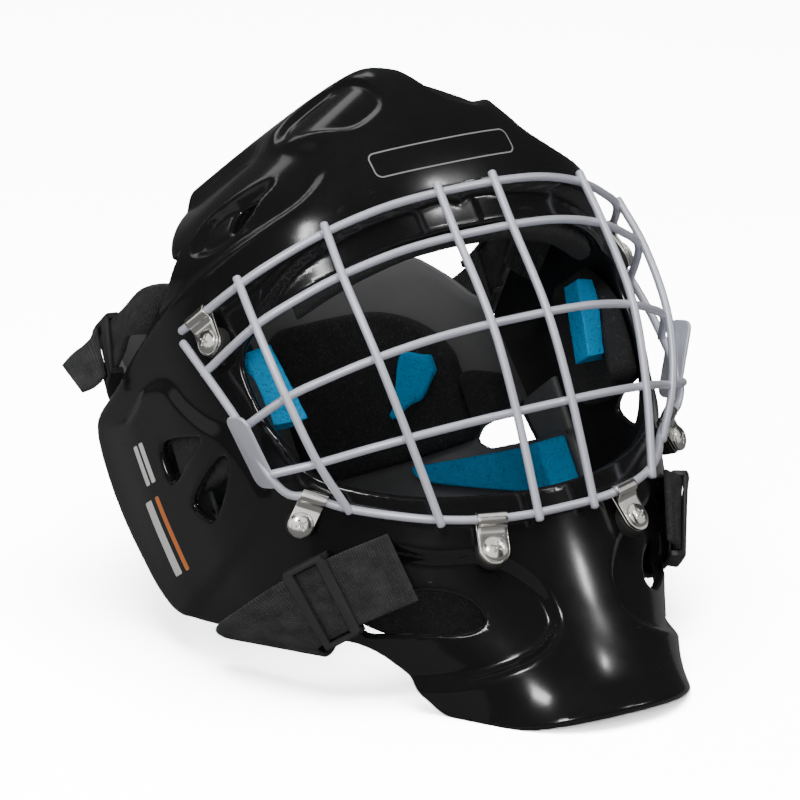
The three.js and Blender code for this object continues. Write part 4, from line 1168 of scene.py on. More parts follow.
    def grid(self) -> BMesh:
        """The half of the shell in (angle, level), cut to its edges."""
        bm = bmesh.new()
        top = CROWN_LEVEL + CROWN_RISE - 0.02
        levels = np.concatenate([np.arange(-166, CROWN_LEVEL, self.spacing),
                                 np.linspace(CROWN_LEVEL, top, 62)])
        columns, rows = int(340 / self.spacing), len(levels) - 1
        verts = bmesh.ops.create_grid(bm, x_segments=columns, y_segments=rows, size=0.5)["verts"]
        fine = np.linspace(0, math.pi, 2001)
        run = run_along(FORM.smooth_point(fine, np.full(2001, -10.0)))
        angles = np.interp(np.linspace(0, run[-1], columns + 1), run, fine)
        i, j = grid_places(verts, columns, rows)
        move_to(verts, np.stack([angles[i], levels[j], np.zeros(len(i))], -1))
        far = dict(zip(verts, self.distance(angles[i], levels[j]).tolist()))
        self.drop(bm, far, -6)
        far = {v: far[v] for v in bm.verts}
        self.cut_along(bm, far, 0.0)
        self.drop(bm, far, -ON_EDGE)
        rim = [f for f in bm.faces if all(far[v] < ON_EDGE for v in f.verts)]
        if rim:
            centres = np.array([f.calc_center_median()[:] for f in rim])
            keep = self.distance(centres[:, 0], centres[:, 1]) > 0
            bmesh.ops.delete(bm, geom=[f for f, k in zip(rim, keep) if not k], context="FACES")
        for value in (0.42, self.roll):
            self.cut_along(bm, far, value)
        return bm

    @staticmethod
    def drop(bm: BMesh, far: dict, least: float) -> None:
        """Deletes the vertices whose distance is under the least."""
        bmesh.ops.delete(bm, geom=[v for v in bm.verts if far[v] < least], context="VERTS")

    def build(self, rack: Rack) -> None:
        """Models and dresses the shell."""
        bm = self.grid()
        outer = list(bm.verts)
        angle, level, _ = coordinates(outer).T
        far = np.maximum(self.distance(angle, level), 0)
        inner, order = doubled(bm, list(bm.faces), outer)
        lined = set(inner)
        for face in bm.faces:
            face.material_index = int(lined.issuperset(face.verts))
        skin = FORM.point(angle, level, rounded_over(far, self.roll))
        lining = FORM.point(angle, level, WALL - rounded_over(far, self.roll_inside))
        middle = (angle < ON_EDGE) | (angle > math.pi - ON_EDGE)
        skin[middle, 0] = 0
        lining[middle, 0] = 0
        move_to(outer, REST.place(skin))
        move_to(inner, REST.place(lining[order]))
        flat = [f for f in bm.faces if all(abs(v.co.x) < 1e-9 for v in f.verts)]
        bmesh.ops.delete(bm, geom=flat, context="FACES")
        bmesh.ops.mirror(bm, geom=[*bm.verts, *bm.edges, *bm.faces], axis="X", merge_dist=1e-6)
        bmesh.ops.remove_doubles(bm, verts=list(bm.verts), dist=1e-6)
        bmesh.ops.triangulate(bm, faces=[f for f in bm.faces if len(f.verts) > 4])
        bmesh.ops.recalc_face_normals(bm, faces=list(bm.faces))
        above_floor(bm)
        rack.hang("shell_hard", bm, Finish.SHELL, "shell", inside=Finish.SHELL_INSIDE)


# ---------------------------------------------------------------- cage
@dataclass(frozen=True)
class CrossWire:
    """A cross wire of the cage, swept back and moved by its outer upright wire.

    Attributes:
        front: front position at the middle.
        sweep: how far it has swept back at reach.
        up: height at the middle.
        fall: how far it has dropped at reach.
        reach: side position of the outer upright wire.
        end: where the wire ends beside the cheek.
    """

    front: float
    sweep: float
    up: float
    fall: float
    reach: float
    end: Triple | None = None

    def at(self, side: float, behind: float = 0.0) -> Triple:
        """Point at a side position, set back by behind."""
        s = (abs(side) / self.reach) ** 2.7
        return side, self.front - self.sweep * s - behind, self.up - self.fall * s

    def line(self, shares: Iterable[float]) -> list[Triple]:
        """Points at shares of reach, set back behind the upright wires."""
        return [self.at(k * self.reach, WELD_OFFSET) for k in shares]


@dataclass(frozen=True)
class Cage:
    """The welded wire face cage.

    Attributes:
        rows: the cross wires from the top down.
        floor: the lower wire, which runs up to the cheeks.
        side: the lower wire's run at the cheek, on the positive side.
        near: side position of the inner upright wires.
        spread: share of reach at which the middle upright wires stand.
        stations: shares of reach through which a cross wire is drawn.
        floor_stations: the same for the lower wire.
    """

    rows: tuple[CrossWire, ...] = (
        CrossWire(14.6, 37.4, 64.1, 14.3, 98.3, (109.5, -59, 43)),
        CrossWire(16.4, 34.9, 44.1, 13.4, 99.7, (110, -52, 22)),
        CrossWire(21, 36.6, 3.8, 5.7, 98.1, (108.5, -40, -6.5)),
        CrossWire(17.8, 36.6, -34, -3.3, 91.3, (106, -31.5, -29)))
    floor: CrossWire = CrossWire(10, 33.2, -76, -26.1, 82)
    side: tuple[Triple, ...] = (
        (93, -31, -41.5), (100, -33.5, -38.5), (105.5, -34, -30), (108.5, -40, -3),
        (110.6, -51, 24), (110.8, -58.5, 38))
    near: float = 14.1
    spread: float = 0.667
    stations: tuple[float, ...] = (0, 0.2, 0.42, 0.667, 0.84, 0.98)
    floor_stations: tuple[float, ...] = (0, 0.2, 0.42, 0.667, 0.84, 1)

    def top_end(self) -> Spline:
        """The end of the top cross wire on the positive side."""
        row = self.rows[0]
        return Spline([*row.line(self.stations[-2:]), row.end])

    def floor_half(self) -> Spline:
        """The lower wire from the middle round to the cheek on the positive side."""
        return Spline([*self.floor.line(self.floor_stations), *self.side[:3]])

    def weld(self, bm: BMesh, p: Sequence[float]) -> None:
        """Adds a small weld bead where two wires cross."""
        made = bmesh.ops.create_icosphere(bm, subdivisions=2, radius=1.0)["verts"]
        size = Matrix.Diagonal((0.00235, 0.0017, 0.00215, 1))
        place = Matrix.Translation(Vector(REST.place(np.array(p))))
        bmesh.ops.transform(bm, matrix=place @ size, verts=made)

    def cheek_plate(self, bm: BMesh, hand: Hand) -> None:
        """Adds the flat rounded plate welded over the side wire at the cheek."""
        def drawn() -> list[BMVert]:
            """The plate's vertices, which are the only ones still in millimetres."""
            return [v for v in bm.verts if v.co.length > 1.2]

        smoothed = {"profile": 0.5, "material": -1}
        made = bmesh.ops.create_grid(bm, x_segments=1, y_segments=1, size=0.5)["verts"]
        bmesh.ops.scale(bm, vec=(15, 34, 1), verts=made)
        bmesh.ops.bevel(bm, geom=made, offset=4.5, segments=6, affect="VERTICES", **smoothed)
        made = drawn()
        upper, _ = doubled(bm, faces_at(made), made)
        bmesh.ops.translate(bm, vec=(0, 0, 1.6), verts=upper)
        rims = [e for e in level_edges(drawn()) if len(e.link_faces) == 2]
        bmesh.ops.bevel(bm, geom=rims, offset=0.45, segments=2, affect="EDGES", **smoothed)
        out = Vector((0.936 * hand.value, 0.122, -0.33)).normalized()
        up = Vector((0, -0.33, 0.94))
        up = (up - out * up.dot(out)).normalized()
        base = Matrix([[*row] for row in zip(up.cross(out), up, out)]).to_4x4()
        base.translation = Vector((108.4 * hand.value, 36.3, -17.2))
        lean = Matrix.Rotation(-REST.lean, 4, "X")
        lean.translation = Vector((0, REST.setback, REST.height))
        made = drawn()
        bmesh.ops.transform(bm, matrix=Matrix.Scale(1 / METRE, 4) @ lean @ base, verts=made)
        bmesh.ops.recalc_face_normals(bm, faces=faces_at(made))

    def uprights(self, bm: BMesh, hand: Hand, places: Sequence[float]) -> None:
        """Adds an upright wire and its welds, at its side positions on the cross wires."""
        crossings = [(row, hand.value * x) for row, x in zip((*self.rows, self.floor), places)]
        line = np.array([row.at(x) for row, x in crossings])
        ends = [p + (p - q) / np.linalg.norm(p - q) * 3.4
                for p, q in ((line[0], line[1]), (line[-1], line[-2]))]
        tube(bm, Spline([ends[0], *line, ends[1]]).stations(2.4), WIRE / 2)
        for row, x in crossings:
            self.weld(bm, row.at(x, WELD_OFFSET * 0.5))

    def build(self, rack: Rack) -> None:
        """Models and dresses the cage."""
        bm = bmesh.new()
        for row in self.rows:
            line = row.line(both_ways(self.stations))
            far_end = np.array(row.end) * Hand.RIGHT.flip
            tube(bm, Spline([far_end, *line, row.end]).stations(2.4), WIRE / 2)
        line = self.floor.line(both_ways(self.floor_stations))
        far_side = np.array(self.side[::-1]) * Hand.RIGHT.flip
        tube(bm, Spline([*far_side, *line, *self.side]).stations(2.2), WIRE / 2)
        reaches = [row.reach for row in (*self.rows, self.floor)]
        for hand in Hand:
            for places in ([self.near] * len(reaches), [self.spread * x for x in reaches], reaches):
                self.uprights(bm, hand, places)
            self.cheek_plate(bm, hand)
        rack.hang("cage_wires", bm, Finish.CAGE, "cage")


# ---------------------------------------------------------------- clips
@dataclass(frozen=True)
class Seat:
    """Where a clip sits on the shell, with its own axes.

    Attributes:
        hand: the side it is on.
        origin: middle of its underside, on the positive side.
        axes: rows across the clip, toward the wire and out of the shell.
        reach: distance to the wire.
        shift: how far the wire's nearest point lies across from the screw.
        lift: height of the origin above the shell.
    """

    hand: Hand
    origin: Array
    axes: Array
    reach: float
    shift: float
    lift: float

    def point(self, local: Array) -> Array:
        """Head coordinates of points in the clip's axes."""
        return (self.origin + local @ self.axes) * self.hand.flip


@dataclass(frozen=True)
class Clip:
    """A folded sheet clip that holds a wire, its screw and its rubber washer.

    Attributes:
        name: where it is.
        side: side position of the screw on the shell.
        up: height of the screw.
        wide: width of the clip.
        sheet: thickness of its sheet.
        washer: thickness of the washer.
        head: radius of the screw head.
        barrel: radius of its turn round the wire, over the outside.
    """

    name: str
    side: float
    up: float
    wide: float
    sheet: float = 1.25
    washer: float = 1.5
    head: float = 5.31
    barrel: float = WIRE / 2 + 0.6 + 1.4

    def seat(self, cage: Cage, hand: Hand, lift: float) -> Seat:
        """Finds the clip's seat, raised from a lift until the washer fits under it."""
        skin = FORM.on_face(self.side, self.up, 0.0)
        east = FORM.on_face(self.side - 6, self.up, 0.0) - skin
        north = FORM.on_face(self.side, self.up + 6, 0.0) - skin
        normal = np.cross(east, north)
        normal /= np.linalg.norm(normal)
        normal = normal if normal[0] + normal[1] > 0 else -normal
        curve = cage.top_end() if self.name == "upper" else cage.floor_half()
        shares = np.linspace(0, 1, 401)
        spots = curve.at(shares)
        k = int(np.argmin(np.linalg.norm(spots - skin, axis=1)))
        ahead, behind = min(1, shares[k] + 0.004), max(0, shares[k] - 0.004)
        across = unit(curve.at(ahead)[0] - curve.at(behind)[0])
        origin = skin + normal * lift
        to_wire = spots[k] - origin
        lean = to_wire - across * (to_wire @ across)
        reach = np.linalg.norm(lean)
        sink = math.asin(min(0.9, (self.barrel - 0.7) / reach))
        flat = unit(np.cross(across, lean))
        flat = flat if flat @ normal > 0 else -flat
        up = unit(lean / reach * math.cos(sink) - flat * math.sin(sink))
        out = np.cross(across, up)
        out = out if out @ normal > 0 else -out
        tilt = math.tan(math.acos(min(1.0, out @ normal)))
        needed = self.washer + 1.6 + tilt * self.wide / 2
        if needed > lift + 0.05:
            return self.seat(cage, hand, needed)
        return Seat(hand, origin, np.stack([across, up, out]), reach * math.cos(sink),
                    float(to_wire @ across), lift)

    def profile(self, reach: float) -> Array:
        """Middle line of the folded sheet in (toward the wire, out)."""
        round_end = self.wide / 2
        low, high = self.sheet / 2, self.sheet * 1.5 + 0.12
        centre, r = self.barrel - 0.7, self.barrel - 0.7 - low
        turn = [(reach + r * math.cos(a), centre + r * math.sin(a))
                for a in np.radians(np.arange(-90, 181, 30))]
        near = reach - r
        back = [(near - 0.9, high + 0.9), (near - 2.2, high + 0.1), (near - 3.6, high)]
        back = [p for p in back if p[0] > 0.6 * reach - 3]
        outward = [(-round_end, low), (0, low), (reach * 0.5, low)]
        return Spline([*outward, *turn, *back, (0.0, high), (-round_end, high)]).stations(0.55)

    def folded(self, seat: Seat) -> BMesh:
        """The folded sheet."""
        line = self.profile(seat.reach)
        run = run_along(line)
        along = np.gradient(line, run, axis=0)
        along /= np.linalg.norm(along, axis=1, keepdims=True)
        round_end = self.wide / 2

        def surface(u: Array, v: Array, lift: Array) -> Array:
            at = u * run[-1]
            y, out, ty, t_out = (np.interp(at, run, column) for column in (*line.T, *along.T))
            y, out = y + t_out * lift, out - ty * lift
            half = np.sqrt(np.clip(round_end ** 2 - np.minimum(y, 0) ** 2, 0.02, None))
            x = (v - 0.5) * 2 * half + seat.shift * np.clip(y / seat.reach, 0, 1.2)
            return seat.point(np.stack([x, y, out], -1))

        return plate((run[-1], self.wide), self.sheet, surface, step=(0.9, 1.2), radius=0.3)

    def screw(self, seat: Seat) -> BMesh:
        """The domed screw head with its cross recess, and its shank."""
        bm = bmesh.new()
        base = self.sheet * 2 + 0.15
        grid = bmesh.ops.create_grid(bm, x_segments=48, y_segments=48, size=1.0)["verts"]
        a, b, _ = coordinates(grid).T
        x = a * np.sqrt(np.maximum(1 - b * b / 2, 0))
        y = b * np.sqrt(np.maximum(1 - a * a / 2, 0))
        r = np.hypot(x, y)
        dome = 2.5 * np.sqrt(np.maximum(1 - 0.86 * r * r, 0)) - 0.15
        dome = np.where(r > 0.97, dome * 0.9, dome)
        px, py = np.abs(x * self.head), np.abs(y * self.head)
        cross = np.minimum(np.maximum(px - 0.30, py - 2.3), np.maximum(py - 0.30, px - 2.3))
        recess = 0.9 * smooth((0.10 - cross) / 0.28) * smooth((2.9 - r * self.head) / 1.2)
        top = np.stack([x * self.head, y * self.head, base + dome - recess], -1)
        under, order = doubled(bm, faces_at(grid), grid)
        low = top[order]
        shank = np.minimum(1.0, 2.2 / np.maximum(np.hypot(low[:, 0], low[:, 1]), 1e-6))
        inner = r[order] < 0.62
        low[:, 2] = np.where(inner, -(self.washer + WALL + 2.2), base - 0.02)
        low[inner, :2] *= shank[inner, None]
        turn = math.radians(28 * len(self.name))
        spin = np.array([[math.cos(turn), math.sin(turn), 0],
                         [-math.sin(turn), math.cos(turn), 0], [0, 0, 1]])
        move_to(grid, REST.place(seat.point(top @ spin)))
        move_to(under, REST.place(seat.point(low @ spin)))
        bmesh.ops.recalc_face_normals(bm, faces=list(bm.faces))
        return bm

    def rubber(self, seat: Seat) -> BMesh:
        """The rubber washer between the clip and the shell."""
        bm = bmesh.new()
        wide, thick = self.wide / 2 + 0.6, seat.lift + 0.5
        made = bmesh.ops.create_cone(
            bm, cap_ends=True, segments=40, radius1=1, radius2=1, depth=1)["verts"]
        rims = level_edges(made)
        bmesh.ops.scale(bm, vec=(wide, wide, thick), verts=made)
        bmesh.ops.bevel(bm, geom=rims, offset=0.5, segments=3, profile=0.5, affect="EDGES",
                        material=-1)
        local = coordinates(bm.verts) + np.array([0, 0, -thick / 2])
        move_to(list(bm.verts), REST.place(seat.point(local)))
        bmesh.ops.recalc_face_normals(bm, faces=list(bm.faces))
        return bm

    def build(self, cage: Cage, hand: Hand, rack: Rack) -> None:
        """Models and dresses the clip, screw and washer of one side."""
        seat = self.seat(cage, hand, self.washer + 0.7)
        for part, mesh, finish in (("clip", self.folded(seat), Finish.HARDWARE),
                                   ("screw", self.screw(seat), Finish.HARDWARE),
                                   ("washer", self.rubber(seat), Finish.WASHER)):
            rack.hang(f"{self.name}_{part}_{hand.label}", mesh, finish,
                      f"{part}_{self.name}_{hand.label}")


CLIPS = (Clip("upper", 101.4, 32.5, 12), Clip("cheek", 92, -50, 11), Clip("chin", 34.5, -86, 13))


# ---------------------------------------------------------------- lining
Rule = Callable[[Array], Array]


def rounding_in(along: Array, length: float, radius: float) -> Array:
    """How far an outline is drawn in beside rounded corners, at places along its length in mm."""
    return rounded_over(np.minimum(along, length - along), radius)


@dataclass(frozen=True)
class TempleLining:
    """The black pad at the temple and the blue block glued onto it, inside the shell.

    Attributes:
        fronts: front positions of the pad from its rear edge to its front edge.
        lows: height of its lower edge at those positions.
        highs: height of its upper edge at those positions.
        block: rear, front, lower and upper edge of the block.
        inner: side position of the block's inner face at its lower and upper edge.
    """

    fronts: tuple[float, ...] = (-100, -92, -86, -61, -42)
    lows: tuple[float, ...] = (-12, -20, -20, -20, -20)
    highs: tuple[float, ...] = (24, 31, 36, 36, 17)
    block: tuple[float, float, float, float] = (-56, -44, -7, 27)
    inner: Pair = (72.4, 79.0)

    @staticmethod
    def thick(up: Array) -> Array:
        """Thickness of the pad at a height."""
        return 7 + 5 * smooth((25 - up) / 32)

    def pad(self, hand: Hand, rack: Rack) -> None:
        """Models and dresses the black pad of one side."""
        long, tall, nominal = self.fronts[-1] - self.fronts[0], 56.0, 9.0

        def surface(u: Array, v: Array, lift: Array) -> Array:
            front = self.fronts[0] + long * u
            drawn = rounding_in(u * long, long, 6.0)
            low = np.interp(front, self.fronts, self.lows) + drawn
            up = low + (np.interp(front, self.fronts, self.highs) - drawn - low) * v
            rough = 0.4 * np.sin(front * 0.33 + v * 6) * np.sin(v * 9 + front * 0.21)
            share = 0.5 - lift / nominal
            depth = WALL + GAP + share * self.thick(up) + np.where(lift < 0, rough, 0)
            return FORM.on_side(front, up, -depth, hand)

        rack.hang(f"temple_pad_foam_{hand.label}",
                  plate((long, tall), nominal, surface, step=(1.6, 1.6), radius=2.8),
                  Finish.BLACK_FOAM, f"temple_pad_{hand.label}", foam=0.9)

    def glued_block(self, hand: Hand, rack: Rack) -> None:
        """Models and dresses the blue block of one side."""
        back, front, low, high = self.block
        nominal = 12.0

        def surface(u: Array, v: Array, lift: Array) -> Array:
            along, up = back + (front - back) * u, low + (high - low) * v
            outer = FORM.on_side(along, up, -(WALL + GAP + self.thick(up) + GAP))
            inner = np.stack([self.inner[0] + (self.inner[1] - self.inner[0]) * v, along, up], -1)
            share = (0.5 - lift / nominal)[..., None]
            rough = 0.25 * np.sin(up * 0.9 + along) * np.sin(up * 0.37 + 2)
            p = outer + (inner - outer) * share + rough[..., None] * np.array([0, 0.6, 0.3])
            return p * hand.flip

        rack.hang(f"temple_block_foam_{hand.label}",
                  plate((front - back, high - low), nominal, surface, step=(1.1, 1.3), radius=0.9),
                  Finish.BLUE_FOAM, f"temple_block_{hand.label}", foam=0.95)

    def build(self, rack: Rack) -> None:
        """Models and dresses the lining of both temples."""
        for hand in Hand:
            self.pad(hand, rack)
            self.glued_block(hand, rack)


@dataclass(frozen=True)
class Sweatband:
    """The brushed band across the inside of the forehead.

    Attributes:
        half: half its width.
        thick: its thickness.
        tall: its height.
    """

    half: float = 84.0
    thick: float = 10.0
    tall: float = 33.0

    def build(self, rack: Rack) -> None:
        """Models and dresses the band."""
        def surface(u: Array, v: Array, lift: Array) -> Array:
            side = self.half * (2 * u - 1)
            up = 46 - 14 * (side / self.half) ** 2 + self.tall * v
            wave = 0.5 * np.sin(side * 0.16 + 2 * v) * np.sin(v * 7 + side * 0.05)
            depth = WALL + GAP + self.thick / 2 - lift + np.where(lift < 0, wave, 0)
            return FORM.on_face(side, up, depth)

        band = plate((2 * self.half, self.tall), self.thick, surface, step=(1.8, 1.6), radius=3.6)
        rack.hang("sweatband_cloth", band, Finish.BLACK_FOAM, "sweatband", foam=0.85)


# ---------------------------------------------------------------- back plate
@dataclass(frozen=True)
class PlatePad:
    """A foam pad inside the back plate.

    Attributes:
        name: piece and CAD node name without its hand.
        finish: its finish.
        sweeps: angles from the middle of the plate to its ends, in degrees.
        low: height of the lower edge at an angle.
        high: height of the upper edge at an angle.
        thick: thickness in mm.
        near: depth of its outer face below the outside of the plate.
    """

    name: str
    finish: Finish
    sweeps: Pair
    low: Rule
    high: Rule
    thick: float
    near: float = 3.7


@dataclass(frozen=True)
class BackPlate:
    """The moulded plate behind the head, with its pads.

    Attributes:
        half: half width over its outer face.
        front: front position of its widest place.
        depth: how far back its middle lies from there.
        wall: thickness.
        low: height of its lower edge.
        arm: how fast the lower arms run forward past a quarter turn.
        end: how far it reaches round from the middle, in degrees.
        top: (degrees, height) of its upper edge.
        notch: where the notch between wing and arm starts, in degrees, and its heights there.
        flat: nominal length and width of the plate as it is laid out in a grid.
        rows: where the notch lies across that grid.
        pads: its pads.
    """

    half: float = 94.0
    front: float = -130.0
    depth: float = 60.0
    wall: float = 3.0
    low: float = -53.0
    arm: float = 1.5
    end: float = 108.0
    flat: Pair = (360.0, 128.0)
    rows: Pair = (46.0, 50.0)
    top: tuple[Pair, ...] = (
        (0, 80), (20, 79.3), (40, 77.3), (60, 74), (69, 63), (78, 50), (84, 45), (88, 10),
        (92, -25), (108, -27))
    notch: Triple = (62.0, -17.0, -8.0)
    pads: tuple[PlatePad, ...] = (
        PlatePad("back_pad", Finish.BLACK_FOAM, (4, 66), lambda a: 0 * a - 12,
                 lambda a: 58 - 39.2 * (a / 70) ** 5, 12),
        PlatePad("wing_pad", Finish.BLACK_FOAM, (67, 88), lambda a: -8 + (a - 67) * 0.19,
                 lambda a: 19 - (a - 67) * 0.43, 11),
        PlatePad("nape_pad", Finish.BLUE_FOAM, (37, 107),
                 lambda a: -20 - 30 * ((a - 37) / 70) ** 0.7,
                 lambda a: -15.8 - (a - 37) * 0.16, 12),
        PlatePad("side_pad", Finish.BLUE_FOAM, (36, 61),
                 lambda a: 6 + 4.5 * smooth((a - 36) / 12) + 10 * smooth((a - 49) / 13),
                 lambda a: 9 + 24 * smooth((a - 36) / 13) - 4 * smooth((a - 50) / 10), 4, 16.0))

    def point(self, sweep: Array, up: Array, inward: Array | float) -> Array:
        """Point of the plate at an angle and height, sunk inward from its outer face."""
        sweep, up = np.broadcast_arrays(np.asarray(sweep, float), np.asarray(up, float))
        half, depth = self.half - inward, self.depth - inward
        bow = 7 * ((up - 15) / 60) ** 2
        past = np.abs(sweep) - math.pi / 2
        turned = np.clip(sweep, -math.pi / 2, math.pi / 2)
        back = (depth - bow * np.cos(turned)) * np.cos(turned)
        front = self.front - back + depth * self.arm * np.maximum(past, 0)
        return np.stack([half * np.sin(turned), front, up], -1)

    def on_it(self, sweep: float, up: float) -> Array:
        """Middle of a strap lying on the outside of the plate; sweep in degrees."""
        return self.point(math.radians(sweep), up, -STRAP / 2 - 0.8)

    def cut_out(self, u: Array, v: Array, _: Array) -> Array:
        """Distance to the notches in the flat grid, negative inside them."""
        long = self.flat[0]
        low, high = self.rows
        past = np.maximum(self.notch[0] * long / 2 / self.end - np.abs(u - long / 2), 0)
        beside = np.maximum(np.maximum(low - v, v - high), 0)
        return np.where((past <= 0) & (v > low) & (v < high), -1.0, np.hypot(past, beside))

    def surface(self, u: Array, v: Array, lift: Array) -> Array:
        """Head coordinates of the moulding at (along 0..1, across 0..1, lift in mm)."""
        (long, tall), (row_low, row_high) = self.flat, self.rows
        start, notch_low, notch_high = self.notch
        degrees = self.end * (2 * u - 1)
        a = np.abs(degrees)
        front = self.point(np.radians(degrees), 0 * a + self.low, 1.5)[..., 1]
        floor = (-REST.height - front * math.sin(REST.lean)) / math.cos(REST.lean)
        low = np.maximum(self.low, floor)
        drawn = rounding_in(u * long, long, 7.0)
        low, high = low + drawn, np.interp(a, *zip(*self.top)) - drawn
        past = a - start
        open_up = np.sqrt(np.clip(past / 3.5, 0.06, 1))
        middle = (notch_low + notch_high) / 2 - 0.02 * past
        gap = (notch_high - notch_low) / 2 + 0.16 * np.maximum(past, 0)
        lower, upper = middle - gap * open_up, middle + gap * open_up
        at = v * tall
        between = lower + (upper - lower) * (at - row_low) / (row_high - row_low)
        above = upper + (high - upper) * (at - row_high) / (tall - row_high)
        up = np.where(at < row_low, low + (lower - low) * at / row_low,
                      np.where(at < row_high, between, above))
        up = np.where((a > 86) & (at > row_high), np.minimum(up, np.maximum(high, upper + 1)), up)
        rib = 0.8 * smooth((np.abs(v - 0.5) - 0.46) / 0.02)
        return self.point(np.radians(degrees), up, self.wall / 2 - lift - rib)

    def grid(self) -> tuple[Array, Array]:
        """Places of the moulding's grid along and across, close together beside its edges."""
        def steps(low: float, high: float, step: float, close_low: bool, close_high: bool) -> Array:
            near = np.array([0.0, 0.1, 0.38, 0.8, 1.3])
            first = low + near if close_low else np.array([low])
            last = high - near[::-1] if close_high else np.array([high])
            count = max(2, int(round((last[0] - first[-1]) / step)) + 1)
            return np.concatenate([first[:-1], np.linspace(first[-1], last[0], count), last[1:]])

        long, tall = self.flat
        edge = long / 2 - self.notch[0] * (long / 2 / self.end)
        us = np.concatenate([steps(0, edge, 2.4, True, False)[:-1], [edge, edge + 0.4, edge + 0.9],
                             steps(edge + 1.4, long - edge - 1.4, 2.8, False, False),
                             [long - edge - 0.9, long - edge - 0.4, long - edge],
                             steps(long - edge, long, 2.4, False, True)[1:]])
        vs = np.concatenate([steps(0, self.rows[0], 2.6, True, True),
                             steps(self.rows[1], tall, 2.6, True, True)])
        return us, vs

    def build(self, rack: Rack) -> None:
        """Models and dresses the plate and its pads."""
        bm = plate(self.flat, self.wall, self.surface, radius=1.3, mapped=True,
                   reserve=self.cut_out, grid=self.grid())
        above_floor(bm)
        rack.hang("back_plate_moulding", bm, Finish.PLATE, "back_plate")
        for pad in self.pads:
            for hand in Hand:
                self.pad(pad, hand, rack)

    def pad(self, pad: PlatePad, hand: Hand, rack: Rack) -> None:
        """Models and dresses one pad."""
        first, last = pad.sweeps
        marks = np.linspace(first, last, 9)
        tall = float(np.mean(pad.high(marks) - pad.low(marks)))
        long = math.radians(last - first) * 80
        black = pad.finish is Finish.BLACK_FOAM
        corner = 7.0 if black else 2.0

        def surface(u: Array, v: Array, lift: Array) -> Array:
            degrees = first + (last - first) * u
            low, high = pad.low(degrees), pad.high(degrees)
            drawn = np.minimum(rounding_in(u * long, long, corner), (high - low) * 0.42)
            low, high = low + drawn, high - drawn
            sweep = np.radians(degrees)
            wave = 0.3 * np.sin(sweep * 23 + v * 5) * np.sin(v * 11 + sweep * 7)
            inward = pad.near + pad.thick / 2 - lift + np.where(lift < 0, wave, 0)
            return self.point(sweep * hand.value, low + (high - low) * v, inward)

        rounding = 3.4 if black else min(1.4, pad.thick * 0.45)
        rack.hang(f"{pad.name}_foam_{hand.label}",
                  plate((long, tall), pad.thick, surface, step=(1.8, 1.8), radius=rounding),
                  pad.finish, f"{pad.name}_{hand.label}", foam=0.85 if black else 0.95)


# ---------------------------------------------------------------- harness
class Strap:
    """A flat strap spanned by two edge lines in head coordinates, on the positive side."""

    def __init__(self, edge_a: Sequence[Sequence[float]],
                 edge_b: Sequence[Sequence[float]]) -> None:
        """Keeps both edges and measures the strap along its middle."""
        self.a, self.b = Spline(edge_a), Spline(edge_b)
        self.share = np.linspace(0, 1, 241)
        middle = (self.a.at(self.share) + self.b.at(self.share)) / 2
        self.run = run_along(middle)
        start_and_middle = np.array([0.0, 0.5])
        gaps = self.a.at(start_and_middle) - self.b.at(start_and_middle)
        self.wide = float(np.linalg.norm(gaps, axis=1).mean())

    @property
    def long(self) -> float:
        """Length along the middle in mm."""
        return float(self.run[-1])

    def local(self, share: Array, across: Array, lift: Array | float) -> Array:
        """Point at a share of the edge lines, 0..1 across, lifted off the strap."""
        shape = np.shape(share)
        u = np.clip(np.ravel(share), 0, 1)
        a, b = self.a.at(u), self.b.at(u)
        ahead, behind = np.minimum(1, u + 0.01), np.maximum(0, u - 0.01)
        run = self.a.at(ahead) + self.b.at(ahead) - self.a.at(behind) - self.b.at(behind)
        normal = unit_rows(np.cross(run, b - a))
        v = np.ravel(np.broadcast_to(across, shape))[:, None]
        up = np.ravel(np.broadcast_to(lift, shape))[:, None]
        return (a + (b - a) * v + normal * up).reshape(*shape, 3)

    def at_run(self, along: Array, across: Array, lift: Array | float) -> Array:
        """Point at a distance along the strap in mm."""
        return self.local(np.interp(along, self.run, self.share), across, lift)


